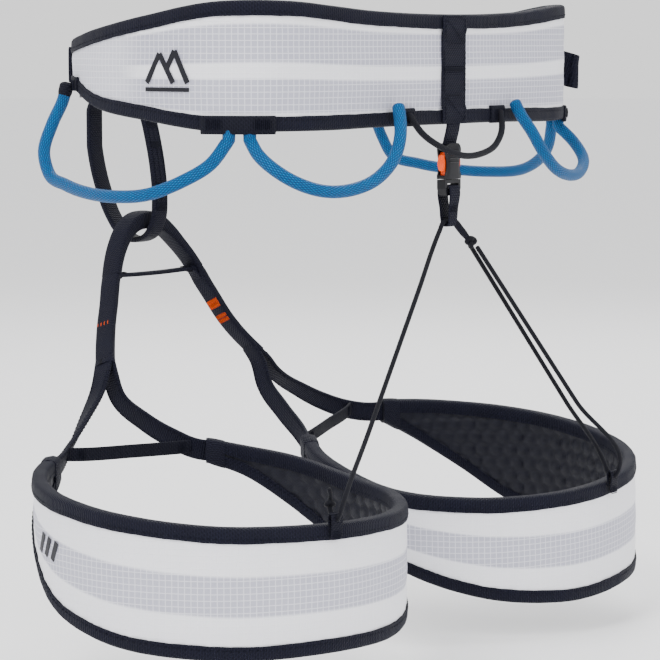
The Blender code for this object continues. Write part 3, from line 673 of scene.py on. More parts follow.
def sew_strap(build, rows, width_at, span, offset, lift, pitch, length):
    """A line of stitches on both faces of a strap, at an offset from its middle."""
    along, _ = frames(rows[:, :3])
    for face in (1, -1):
        line, outs = [], []
        for k in range(*span):
            wide = square_to(width_at(k / (len(rows) - 1)), along[k])
            out = np.cross(along[k], wide) * face
            line.append(rows[k, :3] + wide * offset + out * lift)
            outs.append(out)
        stitch_row(build, line, outs, pitch, length)


def bar_tack(build, centre, across, along, out, width, height, rows=7):
    """A dense block of parallel stitches."""
    centre, across, along, out = (np.array(v, float) for v in (centre, across, along, out))
    half = across * width / 2
    for k in range(rows):
        middle = centre + along * height * (k / (rows - 1) - 0.5)
        stitch(build, middle - half, middle + half, out, 0.26, 0.1)


def tack_piece(name, body, tacks):
    """One object made of bar tacks, each given as the arguments of bar_tack."""
    build = Build()
    for tack in tacks:
        bar_tack(build, *tack)
    return build.make(name, body, "thread")


def wobble(s, seed, size):
    """A smooth, repeatable irregularity along a run in millimetres."""
    total = np.zeros_like(s, dtype=float)
    for k, (pitch, part) in enumerate(((61, 0.5), (23, 0.3), (9.7, 0.2))):
        total += part * np.sin(2 * math.pi * s / pitch + seed * 1.7 + k * 2.1)
    return total * size


# --- belt and leg loops ---


def runs(wall, step):
    return np.linspace(0.0, wall.length, max(int(wall.length / step), 2))


def face_grid(wall, step, inset, count):
    """Runs, shares of the height, heights and a factor below 1 where a wall is low."""
    s = runs(wall, step)
    row = wall.row(s)
    top, bottom = row[:, 4] - inset, row[:, 5] + inset
    share = np.linspace(0, 1, count)
    z = bottom[:, None] + (top - bottom)[:, None] * share[None, :]
    return s, share, z, np.clip((top - bottom) / FULL_HEIGHT, 0.2, 1)[:, None]


def spread(s, z):
    """Places along a wall and in height, in metres, for the 'metres' UV map."""
    return np.stack([np.broadcast_to(s[:, None] * MM, z.shape), z * MM], -1)


def and_back(grid):
    """A grid followed by its own first and last columns, for the hidden face."""
    return np.concatenate([grid, grid[:, :: grid.shape[1] - 1][:, ::-1]], axis=1)


def close_behind(wall, s, face, z, depth):
    """Rings of a front face joined to a plain hidden face at one depth."""
    ends = z[:, :: z.shape[1] - 1]
    behind = wall.place(s[:, None] + 0 * ends, 0 * ends + depth, ends)[:, ::-1]
    return np.concatenate([wall.place(s[:, None] + 0 * z, face, z), behind], axis=1)


def add_shell(name, body, look, wall, node, seed):
    """Outer fabric: it stands a little proud between its bindings and puckers at the seams."""
    s, share, z, tall = face_grid(wall, 1.9, 1.2, 26)
    arch = np.sin(math.pi * share)[None, :]
    from_seam = (np.minimum(share, 1 - share) * FULL_HEIGHT - 8.5).clip(0)
    edge = np.exp(-((from_seam / 6.5) ** 2))[None, :]
    pucker = 0.26 * edge * (np.sin(s * 0.88 + seed) * np.sin(s * 0.31 + 2 * seed))[:, None]
    lines = 0.16 * np.sin(z * 0.42 + 0.6 * np.sin(s * 0.03 + seed)[:, None])
    swell = 0.85 * arch**0.7 * tall
    wide = wobble(s, seed, 0.35)[:, None] * arch
    face = -0.1 + swell + pucker + lines * arch + wide
    shape = [np.broadcast_to(values, z.shape) for values in (s[:, None] / wall.length, share)]
    build = Build()
    build.add(close_behind(wall, s, face, z, -0.9), and_back(spread(s, z)),
              and_back(np.stack(shape, -1)))
    return build.make(name, body, look, [node])


def hex_dimples(s, z, size):
    """Distance from 0 at the middle of a hexagonal cell to 1 at its edge."""
    tall = size * math.sqrt(3)
    nearest = None
    for ds, dz in ((0, 0), (size / 2, tall / 2)):
        a = (s + ds) % size - size / 2
        b = (z + dz) % tall - tall / 2
        near = np.maximum(np.abs(a), np.abs(a) * 0.5 + np.abs(b) * math.sqrt(3) / 2)
        nearest = near if nearest is None else np.minimum(nearest, near)
    return np.clip(nearest / (size / 2), 0, 1)


def add_pad(name, body, wall, node, cell):
    """Foam pad with its spacer mesh: crowned inwards, with sewn-in hexagonal cells."""
    s, share, z, tall = face_grid(wall, 1.5, 1.4, 40)
    crown = 1.9 * np.sin(math.pi * share)[None, :] ** 0.6 * tall
    cells = hex_dimples(s[:, None] + 0 * z, z, cell)
    relief = 1.9 * np.clip((1 - cells) / 0.55, 0, 1) ** 0.7 - 1.9
    relief = relief * np.clip(np.sin(math.pi * share) * 3 - 0.3, 0, 1)[None, :] * tall
    build = Build()
    build.add(close_behind(wall, s, -6.1 - crown - relief, z, -2.7), and_back(spread(s, z)))
    made = build.make(name, body, "mesh", [node])
    return made


def binding_ring(edge, sign, reach, lip_wave):
    """Section points of a folded tape, as depth and height, outer skin then inner skin."""
    lip_out, lip_in = reach + lip_wave, reach - lip_wave
    rise, skin = 2.7, 0.85
    middle, half = (OUT + BACK) / 2, (OUT - BACK) / 2
    outer = [(OUT, edge + sign * lip_out), (OUT + 0.12, edge + sign * lip_out * 0.72)]
    for degrees in range(0, 181, 20):
        turn = math.radians(degrees)
        c = math.cos(turn)
        depth = middle + half * math.copysign(abs(c) ** 0.62, c)
        outer.append((depth, edge + sign * (rise - rise * math.sin(turn) ** 0.85)))
    outer += [(BACK - 0.12, edge + sign * lip_in * 0.72), (BACK, edge + sign * lip_in)]
    inner = []
    for depth, z in reversed(outer):
        share = abs(depth - middle) / half
        shift = skin if depth < middle else -skin
        inner.append((depth + shift * min(1, share), z + sign * skin * (1 - share)))
    inner[0] = (BACK + skin, edge + sign * lip_in)
    inner[-1] = (OUT - skin, edge + sign * lip_out)
    return outer + inner


def add_binding(name, body, wall, upper, node, seed):
    """Tape folded over an edge. Gives the run and height of its line of stitching."""
    s = runs(wall, 2.2)
    row = wall.row(s)
    sign = -1 if upper else 1
    edge = row[:, 4] if upper else row[:, 5]
    reach = np.minimum(BINDING_REACH, 0.46 * (row[:, 4] - row[:, 5]))
    wave = wobble(s, seed, 0.22)
    bulge = wobble(s * 1.7, seed + 3, 0.16)
    rings, metres = [], []
    for i, run in enumerate(s):
        section = np.array(binding_ring(edge[i], sign, reach[i], wave[i]))
        depth, z = section.T
        rings.append(wall.place(np.full(len(section), run), depth + bulge[i], z))
        metres.append([(run * MM, a * MM) for a in run_of(section)])
    build = Build()
    build.add(rings, metres)
    build.make(name, body, "binding", [node], sharp=55)
    return s, edge + sign * (reach - 2.0)


def add_wall_stitching(name, body, wall, lines):
    build = Build()
    for s, line in lines:
        out = wall.place(s, np.full_like(s, 1.0), line) - wall.place(s, np.full_like(s, 0.0), line)
        for depth, face in ((OUT + 0.12, 1), (BACK - 0.12, -1)):
            stitch_row(build, wall.place(s, np.full_like(s, depth), line), out * face)
    return build.make(name, body, "thread")


def add_backing(name, body, wall, node, low, high):
    """White load-bearing webbing between the fabric and the foam."""
    s = runs(wall, 4)
    row = wall.row(s)
    base, span = row[:, 5] + 1.3, row[:, 4] - row[:, 5] - 2.6
    z = np.stack([base + span * share for share in (low, high, high, low)], 1)
    depth = np.array([-1.2, -1.2, -2.4, -2.4])[None, :] + 0 * z
    build = Build()
    build.add(wall.place(s[:, None] + 0 * z, depth, z), spread(s, z))
    return build.make(name, body, "white_webbing", [node], sharp=50)


def end_cap(build, wall, start, end, grow=0.7):
    """A tape sleeve round the whole section near an end of a wall."""
    s = np.linspace(start, end, 9)
    rings, metres = [], []
    for k, run in enumerate(s):
        inside = np.clip(run, 0, wall.length)
        row = wall.row(inside)
        swell = grow * math.sin(math.pi * (k + 0.8) / (len(s) + 0.6)) ** 0.4
        top, bottom = row[4] + swell, row[5] - swell
        out, back = OUT + swell, BACK - swell
        middle, height = (out + back) / 2, (top + bottom) / 2
        section = np.array([
            (out, bottom + 2.5), (out, height), (out, top - 2.5), (out - 1, top - 0.8),
            (middle, top), (back + 1, top - 0.8), (back, top - 2.5), (back, height),
            (back, bottom + 2.5), (back + 1, bottom + 0.8), (middle, bottom),
            (out - 1, bottom + 0.8),
        ])
        base = wall.place(np.full(len(section), inside), section[:, 0], section[:, 1])
        if inside != run:
            nearby = 0.5 if run < 0 else wall.length - 0.5
            ahead = unit(wall.place(inside, 0.0, 0.0) - wall.place(nearby, 0.0, 0.0))
            base = base + ahead * abs(run - inside)
        rings.append(base)
        metres.append([(a * MM, run * MM) for a in run_of(section)])
    build.add(rings, metres)


def patch(build, wall, start, end, low, high, proud, thick):
    """A small sewn tape on the outer face, between two runs and two heights."""
    s = np.linspace(start, end, max(int((end - start) / 1.5), 4))
    rings, metres = [], []
    for k, run in enumerate(s):
        from_end = min(k, len(s) - 1 - k)
        lift = proud + thick * (0.55, 0.9, 1.0)[min(from_end, 2)]
        section = np.array([
            (proud - 0.6, low), (lift - 0.5, low), (lift, low + 0.8),
            (lift + 0.15, (low + high) / 2), (lift, high - 0.8), (lift - 0.5, high),
            (proud - 0.6, high),
        ])
        rings.append(wall.place(np.full(len(section), run), section[:, 0], section[:, 1]))
        metres.append([(run * MM, z * MM) for z in section[:, 1]])
    build.add(rings, metres)


def add_wall(body, wall, look, seed, names, nodes, webbings, caps):
    """One padded wall: fabric, pad, backing webbings, bound edges, stitching and end tapes."""
    fabric, pad, bindings, stitching, ends = names
    add_shell(fabric, body, look, wall, f"{nodes}_shell", seed)
    add_pad(pad, body, wall, f"{nodes}_foam", 9.5)
    for name, place, low, high in webbings:
        add_backing(name, body, wall, f"{nodes}_webbing_{place}", low, high)
    lines = []
    for place in ("top", "bottom"):
        upper = place == "top"
        lines.append(add_binding(f"{bindings}_{place}", body, wall, upper,
                                 f"{nodes}_binding_{place}", seed if upper else seed + 1))
    add_wall_stitching(stitching, body, wall, lines)
    build = Build()
    over, reach = caps
    end_cap(build, wall, -over, reach)
    end_cap(build, wall, wall.length - reach, wall.length + over)
    build.make(ends, body, "webbing")


def add_walls():
    belt = belt_wall()
    shares = (("top", 0.80, 0.985), ("middle", 0.44, 0.56), ("bottom", 0.015, 0.20))
    webbings = [(f"belt_webbing_{place}", place, low, high) for place, low, high in shares]
    names = ("belt_fabric", "belt_pad", "belt_binding", "belt_stitching", "belt_end_tapes")
    add_wall("waist", belt, "belt", 1.0, names, "waist", webbings, (0.8, 12))
    for side, seed in (("left", 4.0), ("right", 5.5)):
        body = f"leg_{side}"
        shares = (("top", 0.66, 0.975), ("bottom", 0.025, 0.34))
        webbings = [(f"{body}_backing_{place}", place, low, high) for place, low, high in shares]
        names = [f"{body}_{part}" for part in ("fabric", "pad", "tape", "stitching", "end_tapes")]
        add_wall(body, leg_wall(side), "leg", seed, names, body, webbings, (1.5, 9))
    return belt


# --- straps, loops and cords ---


def add_back_strap(belt):
    build = Build()
    strip = [belt.place(belt.length / 2, OUT + 1.0 if abs(z + 1) > 20 else 1.35, z)
             for z in np.linspace(-30.5, 28.2, 30)]
    add_strap(build, strip, turned(ACROSS), 22.0, 1.3)
    tail = [(0, 66.0, -27), (0, 65.6, -32.5), (0, 64.8, -36), (0, 63.9, -39), (0, 63.2, -42)]
    add_strap(build, smooth(tail, 16), turned(ACROSS), 12.0, 1.5)
    build.make("back_strap_webbing", "waist", "webbing", ["back_strap", "buckle_hanger"])
    sewn = Build()
    box = ((-9, 0), (9, 0), (9, 1), (-9, 1), (-9, 0), (9, 1))
    for low, high in ((13, 27), (-29, -15)):
        corners = [(x, 67.3, high if top else low) for x, top in box]
        for a, b in zip(corners, corners[1:]):
            stitch_row(sewn, np.linspace(a, b, 6), np.tile(REARWARD, (6, 1)), 2.6, 2.0)
    for x in (-9.6, 9.6):
        line = np.linspace((x, 66.9, -14), (x, 66.9, 12), 6)
        stitch_row(sewn, line, np.tile(REARWARD, (6, 1)), 2.9, 2.2)
    bar_tack(sewn, (0, 66.9, -1), ACROSS, UP, REARWARD, 19, 1.8, 4)
    sewn.make("back_strap_stitching", "waist", "thread")


def waist_strap_path(belt):
    path = []
    for share in (*np.linspace(0.11, 0, 24), *np.linspace(1, 0.70, 70)):
        path.append(belt.place(share * belt.length, STRAP_LIFT, 1.0))
    onward = unit(path[-1] - path[-2])
    last = path[-1]
    to_end = np.array(TAIL_END, float) - last
    for share in np.linspace(0.06, 1.0, 18):
        straight = last + onward * np.linalg.norm(to_end) * share
        mixed = 0.4 + 0.6 * share
        path.append(straight * (1 - mixed) + (last + to_end * share) * mixed)
    return np.array(path)


def add_waist_strap(belt):
    path = waist_strap_path(belt)[:-4]
    strap_piece("waist_webbing", "waist", "webbing", path, turned(UP), 20.0, 1.7,
                replaces=["waist_strap"])
    end = path[-1]
    ahead = unit(end - path[-4])
    inward = np.cross(UP, ahead)
    inward = inward if inward.dot(end) < 0 else -inward
    curl = []
    for degrees in range(-90, 136, 15):
        turn = math.radians(degrees)
        curl.append(end + ahead * 2.2 * math.cos(turn) + inward * 2.2 * (1 + math.sin(turn)))
    back_to = end - ahead * 8 + inward * 3.2
    hem = smooth([*curl, (curl[-1] + back_to) / 2, back_to], 40)
    strap_piece("waist_webbing_hem", "waist", "webbing", hem, turned(UP), 19.4, 1.6)
    tack = (end - ahead * 5 - inward * 0.95, UP, ahead, -inward, 15, 4, 4)
    tack_piece("waist_webbing_tack", "waist", [tack])
    at = 0.844 * belt.length
    strip = [belt.place(at + aside, STRAP_LIFT + 2.2, 1.0) for aside in np.linspace(-8.5, 8.5, 14)]
    strap_piece("buckle_anchor_webbing", "waist", "webbing", strip, turned(UP), 19.0, 1.7,
                replaces=["waist_buckle_anchor"])


def keeper_ring(belt):
    at = 0.752 * belt.length
    centre = belt.place(at, STRAP_LIFT + 0.4, 1.0)
    out = belt.place(at, 1.0, 0.0) - belt.place(at, 0.0, 0.0)
    loop = []
    for degrees in range(0, 360, 10):
        turn = math.radians(degrees)
        c, s = math.cos(turn), math.sin(turn)
        z = 11.6 * math.copysign(abs(s) ** 0.35, s)
        d = 2.1 * math.copysign(abs(c) ** 0.6, c)
        loop.append(centre + out * d + np.array((0, 0, z)))
    across = np.cross(out, UP)
    strap_piece("tail_keeper_elastic", "waist", "elastic", loop, turned(across), 8.0, 0.9,
                closed=True, replaces=["tail_keeper"])


def add_tie_in():
    path = smooth([(x, -179.5, z) for x, z in TIE_IN], 40)
    lead = np.array([(-27.6, -177.5, -8), (-27.4, -179, -11.5)])
    path = smooth(np.vstack([lead, path, lead[::-1] * (-1, 1, 1)]), 60)
    strap_piece("tie_in_webbing", "waist", "webbing", path, turned(REARWARD), 22.0, 2.5,
                replaces=["tie_in_loop"])
    tacks = [((x, -190.6, -18.6), ACROSS, UP, (0, -1, 0), 5, 1.2, 3) for x in (-22, 22)]
    tacks += [((x, -179.5, -20.4), REARWARD, ACROSS, (0, 0, -1), 17, 7, 8) for x in (-20, 20)]
    tack_piece("tie_in_stitching", "waist", tacks)


def belay_rows(count):
    path = [(0, y, z) for y, z in (*BELAY_LOOP, BELAY_LOOP[0])]
    rows = smooth(path, count + 1)[:-1]
    rows[:, 1] = np.maximum(rows[:, 1], -201.5)
    return rows


def add_belay_loop():
    rows = belay_rows(150)
    strap_piece("belay_webbing", "belay_loop", "webbing", rows, turned(ACROSS), 12.0, 3.4,
                closed=True, replaces=["belay_loop"])
    along, _ = frames(rows, True)
    out = np.cross(along, ACROSS)
    inward = np.sum(out * (rows - (0, -176, -60)), axis=1) < 0
    out[inward] *= -1
    sewn = Build()
    first, last = 96, 128
    for x in (-4.2, 0, 4.2):
        line = rows[first:last] + out[first:last] * 1.8 + (x, 0, 0)
        stitch_row(sewn, line, out[first:last], 2.5, 2.0)
    for k in (first, first + 8, last - 8, last):
        bar_tack(sewn, rows[k] + out[k] * 1.75, ACROSS, along[k], out[k], 9.5, 3.2, 6)
    sewn.make("belay_stitching", "belay_loop", "thread")


def stem_point(side, point):
    top, foot = STEM[0][2], STEM[-1][2]
    share = min(max((point[2] - top) / (foot - top), 0), 1)
    mirrored = Vector((point[0] if side == "left" else -point[0], point[1], point[2]))
    return mirrored.lerp(leg_pose(side) @ Vector(point[:3]), share)


def add_bridge():
    right = [(-x, y, z, thick) for x, y, z, thick in reversed(ARCH[1:])]
    deep = turned(REARWARD)
    strap_piece("arch_webbing", "waist", "webbing", smooth(right + list(ARCH), 70), deep, 12.6, 0,
                replaces=["bridge_arch"])
    bar = Build()
    sag = [(x, -154, -123.5 - 0.6 * (1 - (x / 33) ** 2)) for x in np.linspace(-34.5, 34.5, 40)]
    add_strap(bar, sag, deep, 5.6, 2.4)
    flap = ((32, -154.3, -122.8), (35.6, -153.4, -125.4), (38.9, -151.4, -130.4),
            (42.4, -148.9, -136))
    for sign in (1, -1):
        add_strap(bar, smooth([(sign * x, y, z) for x, y, z in flap], 16), deep, 7.0, 2.6)
        add_wrap(bar, (sign * 33.6, -154, -123.6), ACROSS, REARWARD, 1.9, 3.7, 3.0, 0.9)
    bar.make("crossbar_webbing", "waist", "webbing", ["bridge_crossbar"])
    tacks = [((x, -154, -122.2), REARWARD, ACROSS, UP, 4.4, 5, 6) for x in (29, -29)]
    tack_piece("crossbar_stitching", "waist", tacks)


def add_stem(side):
    """One half of the bridge, with its orange wear marker and the tape where it splits."""
    body = f"leg_{side}"
    rows = smooth([(36.9, -154.4, -122.6, 4.3), *STEM], 60)
    rows = [(*stem_point(side, row), row[3]) for row in rows]
    rows = smooth([rows[0], *rows[4::6], rows[-1]], 60)
    deep = turned(REARWARD)
    stem = strap_piece(f"stem_webbing_{side}", None, "webbing", rows, deep, 11.8, 0, soft=0.15,
                       replaces=[f"bridge_stem_{side}"])
    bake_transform(stem)
    marks = Build()
    worn = ((20, 27, 1.0), (29, 36, 1.0)) if side == "right" else ((22, 24, 0.35), (30, 34, 0.35))
    for first, last, share in worn:
        for number, offset in enumerate(np.linspace(-4.6, 4.6, 13)):
            if (number * 7 + first) % 10 < 10 * share:
                lift = 2.32 - 0.012 * offset * offset
                sew_strap(marks, rows, deep, (first, last), offset, lift, 2.9, 2.75)
    mark = marks.make(f"wear_marker_{side}", None, "orange_yarn")
    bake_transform(mark)
    joint = Build()
    along, _ = frames(rows[:, :3])
    add_wrap(joint, rows[-1][:3] - along[-1] * 1.5, along[-1], REARWARD, 2.7, 6.1, 3.2, 0.7)
    joint.make(f"split_tape_{side}", body, "webbing")


def add_leg_straps(side):
    body = f"leg_{side}"
    pose = leg_pose(side)
    turn = turned(REARWARD, UP)
    lead = tuple(Vector(STEM[-2][:3]).lerp(Vector(STEM[-1][:3]), 0.7))
    straps = (("outer", OUTER_STRAP, (157.1, -90.4, -218.7)),
              ("inner", INNER_STRAP, (47.5, -67.5, -218.3)))
    for name, points, over in straps:
        rows = smooth([tuple(pose @ Vector(p)) for p in (lead, *points, over)], 70)
        strap_piece(f"{body}_{name}_webbing", body, "webbing", rows, turn,
                    np.linspace(11.4, 11.8, 70), 2.9, soft=0.18,
                    replaces=[f"{body}_{name}_strap"])
        sewn = Build()
        for offset in (-4.6, 4.6):
            sew_strap(sewn, rows, turn, (2, 68), offset, 1.38, 3.2, 2.4)
        sewn.make(f"{body}_{name}_stitching", body, "thread")
    ends = [(132.8, -101.3, -213.7), *ELASTIC_STRAP, (57.3, -76.3, -215.6)]
    path = smooth([tuple(pose @ Vector(p)) for p in ends], 40)
    strap_piece(f"{body}_elastic_tape", body, "elastic", path, turned(UP), 7.6, 1.5,
                replaces=[f"{body}_elastic"])
    tacks = []
    for k in (4, 36):
        along = unit(path[k + 1] - path[k - 1])
        out = np.cross(along, UP)
        tacks += [(path[k] + out * face * 0.8, UP, along, out * face, 5.6, 3.5, 5)
                  for face in (1, -1)]
    tack_piece(f"{body}_elastic_stitching", body, tacks)


def add_gear_loop(place, side, sign, points):
    """One sheathed loop, whose hidden end runs on under its sewn tape."""
    name = f"gear_loop_{place}_{side}"
    path = smooth([(sign * x, y, z) for x, y, z in points], 110)
    if place == "rear":
        path = np.vstack([path[0] + (path[0] - path[1]) * 0.2 + (0, 0, 4.4), path])
        tube_piece(f"{name}_sheath", name, "blue", path, 3.4, 20, replaces=[name])
        return
    path = np.vstack([path, path[-1] + (path[-1] - path[-2]) * 0.2 + (0, 0, 4.4)])
    tube_piece(f"{name}_sheath", name, "blue", path, 3.4, 20, replaces=[name])
    part = path[run_of(path) < 6.5]
    radius = 3.4 + 0.45 * np.clip(np.linspace(4, 0, len(part)), 0, 1)
    tube_piece(f"{name}_sleeve", name, "elastic", part, radius, 18)


def add_gear_loops(belt):
    for place, points in (("front", FRONT_GEAR_LOOP), ("rear", REAR_GEAR_LOOP)):
        for side, sign in (("left", 1), ("right", -1)):
            add_gear_loop(place, side, sign, points)
    front = belt.nearest(133, -92)
    corner_a, corner_b = belt.nearest(152.5, 27), belt.nearest(142, 43)
    tapes = Build()
    tacks = []
    for mirrored in (False, True):
        spans = ((front - 6, front + 6, -12.6, -5.0), (corner_a - 9, corner_b + 9, -33.2, -23.6))
        for start, end, low, high in spans:
            if mirrored:
                start, end = belt.length - end, belt.length - start
            patch(tapes, belt, start, end, low, high, OUT, 1.5)
        for s, z in ((front, -9.4), (corner_a - 2, -28), (corner_b + 2, -28)):
            at = belt.length - s if mirrored else s
            out = belt.place(at, 1, z) - belt.place(at, 0, z)
            tacks.append((belt.place(at, OUT + 1.75, z), UP, np.cross(out, UP), out, 5.4, 8, 9))
    tapes.make("gear_loop_tapes", "waist", "elastic")
    tack_piece("gear_loop_tacks", "waist", tacks)


def add_haul_loop(belt):
    tube_piece("haul_cord", "haul_loop", "cord", smooth(HAUL_LOOP, 70), 1.8, 14,
               replaces=["haul_loop"])
    build = Build()
    tacks = []
    for x in (-43, 43):
        s = belt.nearest(x, 64)
        patch(build, belt, s - 7, s + 7, -31.2, -21.4, OUT, 2.0)
        tacks.append((belt.place(s, OUT + 2.25, -26.4), UP, ACROSS, REARWARD, 6, 9, 10))
    build.make("haul_loop_tapes", "waist", "elastic")
    tack_piece("haul_loop_tacks", "waist", tacks)


def add_plug_webbing():
    half = ((0.5, -64.6), (3.2, -65.1), (4.1, -67.6), (4.0, -71), (3.1, -77), (2.7, -83),
            (1.8, -86.4))
    right = [(0, BUCKLE_Y + y, z) for y, z in half]
    left = [(0, BUCKLE_Y - y, z) for y, z in reversed(half)]
    rows = smooth(right + left + right[:1], 61)[:-1]
    widths = np.interp(rows[:, 2], (-87, -78, -70, -64), (7.4, 8.4, 9.4, 9.4))
    strap_piece("plug_webbing_tape", "buckle_male", "webbing", rows, turned(ACROSS), widths, 1.0,
                closed=True, replaces=["plug_webbing"])
    tacks = [((0, BUCKLE_Y + sign * 3.7, -76.5), ACROSS, UP, (0, sign, 0), 6.4, 4, 6)
             for sign in (1, -1)]
    tack_piece("plug_webbing_tack", "buckle_male", tacks)


def add_rear_buckle():
    """Shaped socket with open sides, where the rounded release buttons stand out."""
    outline = np.array((
        (-41.4, 4.6), (-42.4, 6.2), (-44.5, 7.3), (-46.5, 7.2), (-50, 6.3), (-54, 6.1),
        (-57, 6.5), (-59.3, 7.4), (-61, 7.3),
    ))
    crown = ((-1, 2.1), (-1, 2.9), (-0.92, 3.35), (-0.5, 3.55), (0, 3.6),
             (0.5, 3.55), (0.92, 3.35), (1, 2.9), (1, 2.1))
    profile = smooth([(half, 0, z) for z, half in outline], 40)
    build = Build()
    for face in (1, -1):
        build.add([[(a * half, BUCKLE_Y + face * depth, z) for a, depth in crown]
                   for half, _, z in profile])
    for z0, z1, inner in ((-41.6, -45.2, 0.0), (-58.9, -60.9, 6.2)):
        for sign in (1, -1):
            rings = []
            for z in np.linspace(z0, z1, 5):
                half = float(np.interp(-z, -outline[:, 0], outline[:, 1]))
                section = ((inner, -2.3), (half - 0.1, -2.3), (half, 0), (half - 0.1, 2.3),
                           (inner, 2.3))
                rings.append([(sign * x, BUCKLE_Y + y, z) for x, y in section])
            build.add(rings)
    for z in (-47.2, -49.4, -51.6):
        rib = [(x, BUCKLE_Y + 3.5, z) for x in np.linspace(-4.4, 4.4, 8)]
        add_tube(build, rib, 0.42, 8)
    build.make("buckle_socket_shaped", "waist", "plastic", ["buckle_socket"], sharp=40)
    for side, sign in (("left", 1), ("right", -1)):
        button = Build()
        rings = []
        for share in np.linspace(-0.98, 0.98, 17):
            reach = math.sqrt(1 - share * share)
            ring = []
            for turn in np.radians(range(0, 360, 24)):
                x = sign * (6.5 + 2.1 * reach * math.cos(turn))
                ring.append((x, BUCKLE_Y + 2.0 * reach * math.sin(turn), -52.2 + 5.0 * share))
            rings.append(ring)
        button.add(rings)
        button.make(f"release_button_{side}", f"prong_{side}", "orange")


def rim_point(side, angle, proud, rise):
    angles, tops, _ = np.array(LEG_RIM, float).T
    x, y = leg_plan(angle, LEG_RADIUS + proud)
    return leg_pose(side) @ Vector((x, y, np.interp(angle, angles, tops) + rise))


def add_riser_tab(side, angle):
    """A loop of narrow webbing sewn to the top binding."""
    body = f"leg_{side}"
    path = ((1.3, -6.8), (1.35, -3), (1.9, 1.5), (1.6, 4.6), (0, 6.0), (-1.6, 4.6), (-1.9, 1.5),
            (-1.2, -1.0), (-0.9, -3))
    points = [tuple(rim_point(side, angle, TAB_PROUD + proud * 0.75, rise)) for proud, rise in path]
    out = tuple(rim_point(side, angle, 1, 0) - rim_point(side, angle, 0, 0))
    across = np.cross(out, UP)
    strap_piece(f"riser_tab_webbing_{side}", body, "elastic", smooth(points, 30), turned(across),
                7.2, 0.9, replaces=[f"riser_tab_{side}"])
    low = tuple(rim_point(side, angle, TAB_PROUD + 1.4, -5.6))
    tack_piece(f"riser_tab_tack_{side}", body, [(low, across, UP, out, 5.4, 3.6, 6)])


def eye_turn(side, angle):
    half = ((4.6, 7.6), (3.4, 4.8), (1.9, 2.9))
    turn = [*half, (0, 2.3), *[(-proud, rise) for proud, rise in reversed(half)]]
    return [rim_point(side, angle, TAB_PROUD + proud, rise) for proud, rise in turn]


def split_point(start, end):
    share = (SPLIT_Z - start[2]) / (end[2] - start[2])
    return Vector(start).lerp(Vector(end), share)


def upper_cord(name, path, node):
    """The part of a cord above its middle, hung on the waist."""
    build = Build()
    add_tube(build, smooth([tuple(p) for p in path], 90), CORD_RADIUS, 12)
    made = build.make(name, "waist", "cord", [node])
    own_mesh(made)
    return made


def lower_cord(name, path, node):
    build = Build()
    add_tube(build, smooth([tuple(p) for p in path], 150), CORD_RADIUS, 12)
    made = build.make(name, None, "cord", [node])
    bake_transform(made)
    return made


def add_riser_cords():
    left_turn = eye_turn("left", LEFT_TAB_ANGLE)
    left_start = Vector((9, BUCKLE_Y + 0.4, -89))
    left_mid = split_point(left_start, left_turn[0])
    reach = Vector((-10, BUCKLE_Y + 1, -89.4))
    eye = [Vector((x, BUCKLE_Y, EYE_Z - drop)) for x, drop in ((5.2, 0.4), (0, 0), (-5.2, 0.4))]
    upper = [left_mid, left_mid.lerp(left_start, 0.5), left_start, *eye, reach,
             KNOT + (reach - KNOT) * 0.2]
    upper_cord("riser_upper_left", upper, "riser_cord_upper")
    tail = left_turn[-1] + Vector((0, 0, 5))
    lower = [left_mid, left_mid.lerp(left_turn[0], 0.5), *left_turn, tail]
    lower_cord("riser_lower_left", lower, "riser_cord_left")
    tie = Build()
    knot_at = left_turn[-1] + Vector((0, 0, 2.5))
    ring = []
    for t in np.linspace(0, 2 * math.pi, 30, endpoint=False):
        turn = Vector((2.3 * math.cos(t), 1.6 * math.sin(t), 0.9 * math.sin(2 * t) + 0.4))
        ring.append(tuple(knot_at + turn))
    add_tube(tie, ring, 1.25, 10, round_ends=False, closed=True)
    stub = [tuple(knot_at + Vector(p)) for p in ((0, 0, 1), (1.2, 1.2, 4.5), (3.4, 2.2, 8.0))]
    add_tube(tie, smooth(stub, 12), 1.25, 10)
    tie.make("riser_tie_left", "leg_left", "cord")
    right_turn = eye_turn("right", RIGHT_TAB_ANGLE)
    lower = []
    for name, end in (("outer", right_turn[0]), ("inner", right_turn[-1])):
        aside = Vector((0, 2.0 if name == "outer" else -2.0, 0))
        start = KNOT + (end - KNOT).normalized() * 4.0 + aside
        mid = split_point(start, end)
        upper = [start, start.lerp(mid, 0.5), mid]
        upper_cord(f"riser_upper_right_{name}", upper, f"riser_strand_{name}")
        lower.append([mid, mid.lerp(end, 0.5)])
    hairpin = [*lower[0], *right_turn, *reversed(lower[1])]
    lower_cord("riser_lower_right", hairpin,
               "riser_cord_right")
    knot = Build()
    loop = []
    for degrees in range(0, 360, 8):
        t = math.radians(degrees)
        x = (math.sin(t) + 2 * math.sin(2 * t)) * 0.95
        y = (math.cos(t) - 2 * math.cos(2 * t)) * 0.95
        z = -math.sin(3 * t) * 1.25
        loop.append(tuple(KNOT + Vector((x, z, y))))
    add_tube(knot, loop, CORD_RADIUS, 10, round_ends=False, closed=True)
    knot.make("riser_knot_cord", "buckle_male", "cord", ["riser_knot"])
    sleeve = Build()
    path = [(-2.6, BUCKLE_Y, EYE_Z), (-5.2, BUCKLE_Y, EYE_Z - 0.5), (-9.6, BUCKLE_Y + 0.9, -89.0),
            (-12.6, BUCKLE_Y + 1.8, -92.2), (-15.6, BUCKLE_Y + 2.6, -95.2)]
    radius = np.interp(np.arange(24), (0, 16, 23), (2.0, 2.0, 1.45))
    add_tube(sleeve, smooth(path, 24), radius, 12)
    sleeve.make("riser_sleeve", "buckle_male", "elastic")


# --- marks ---


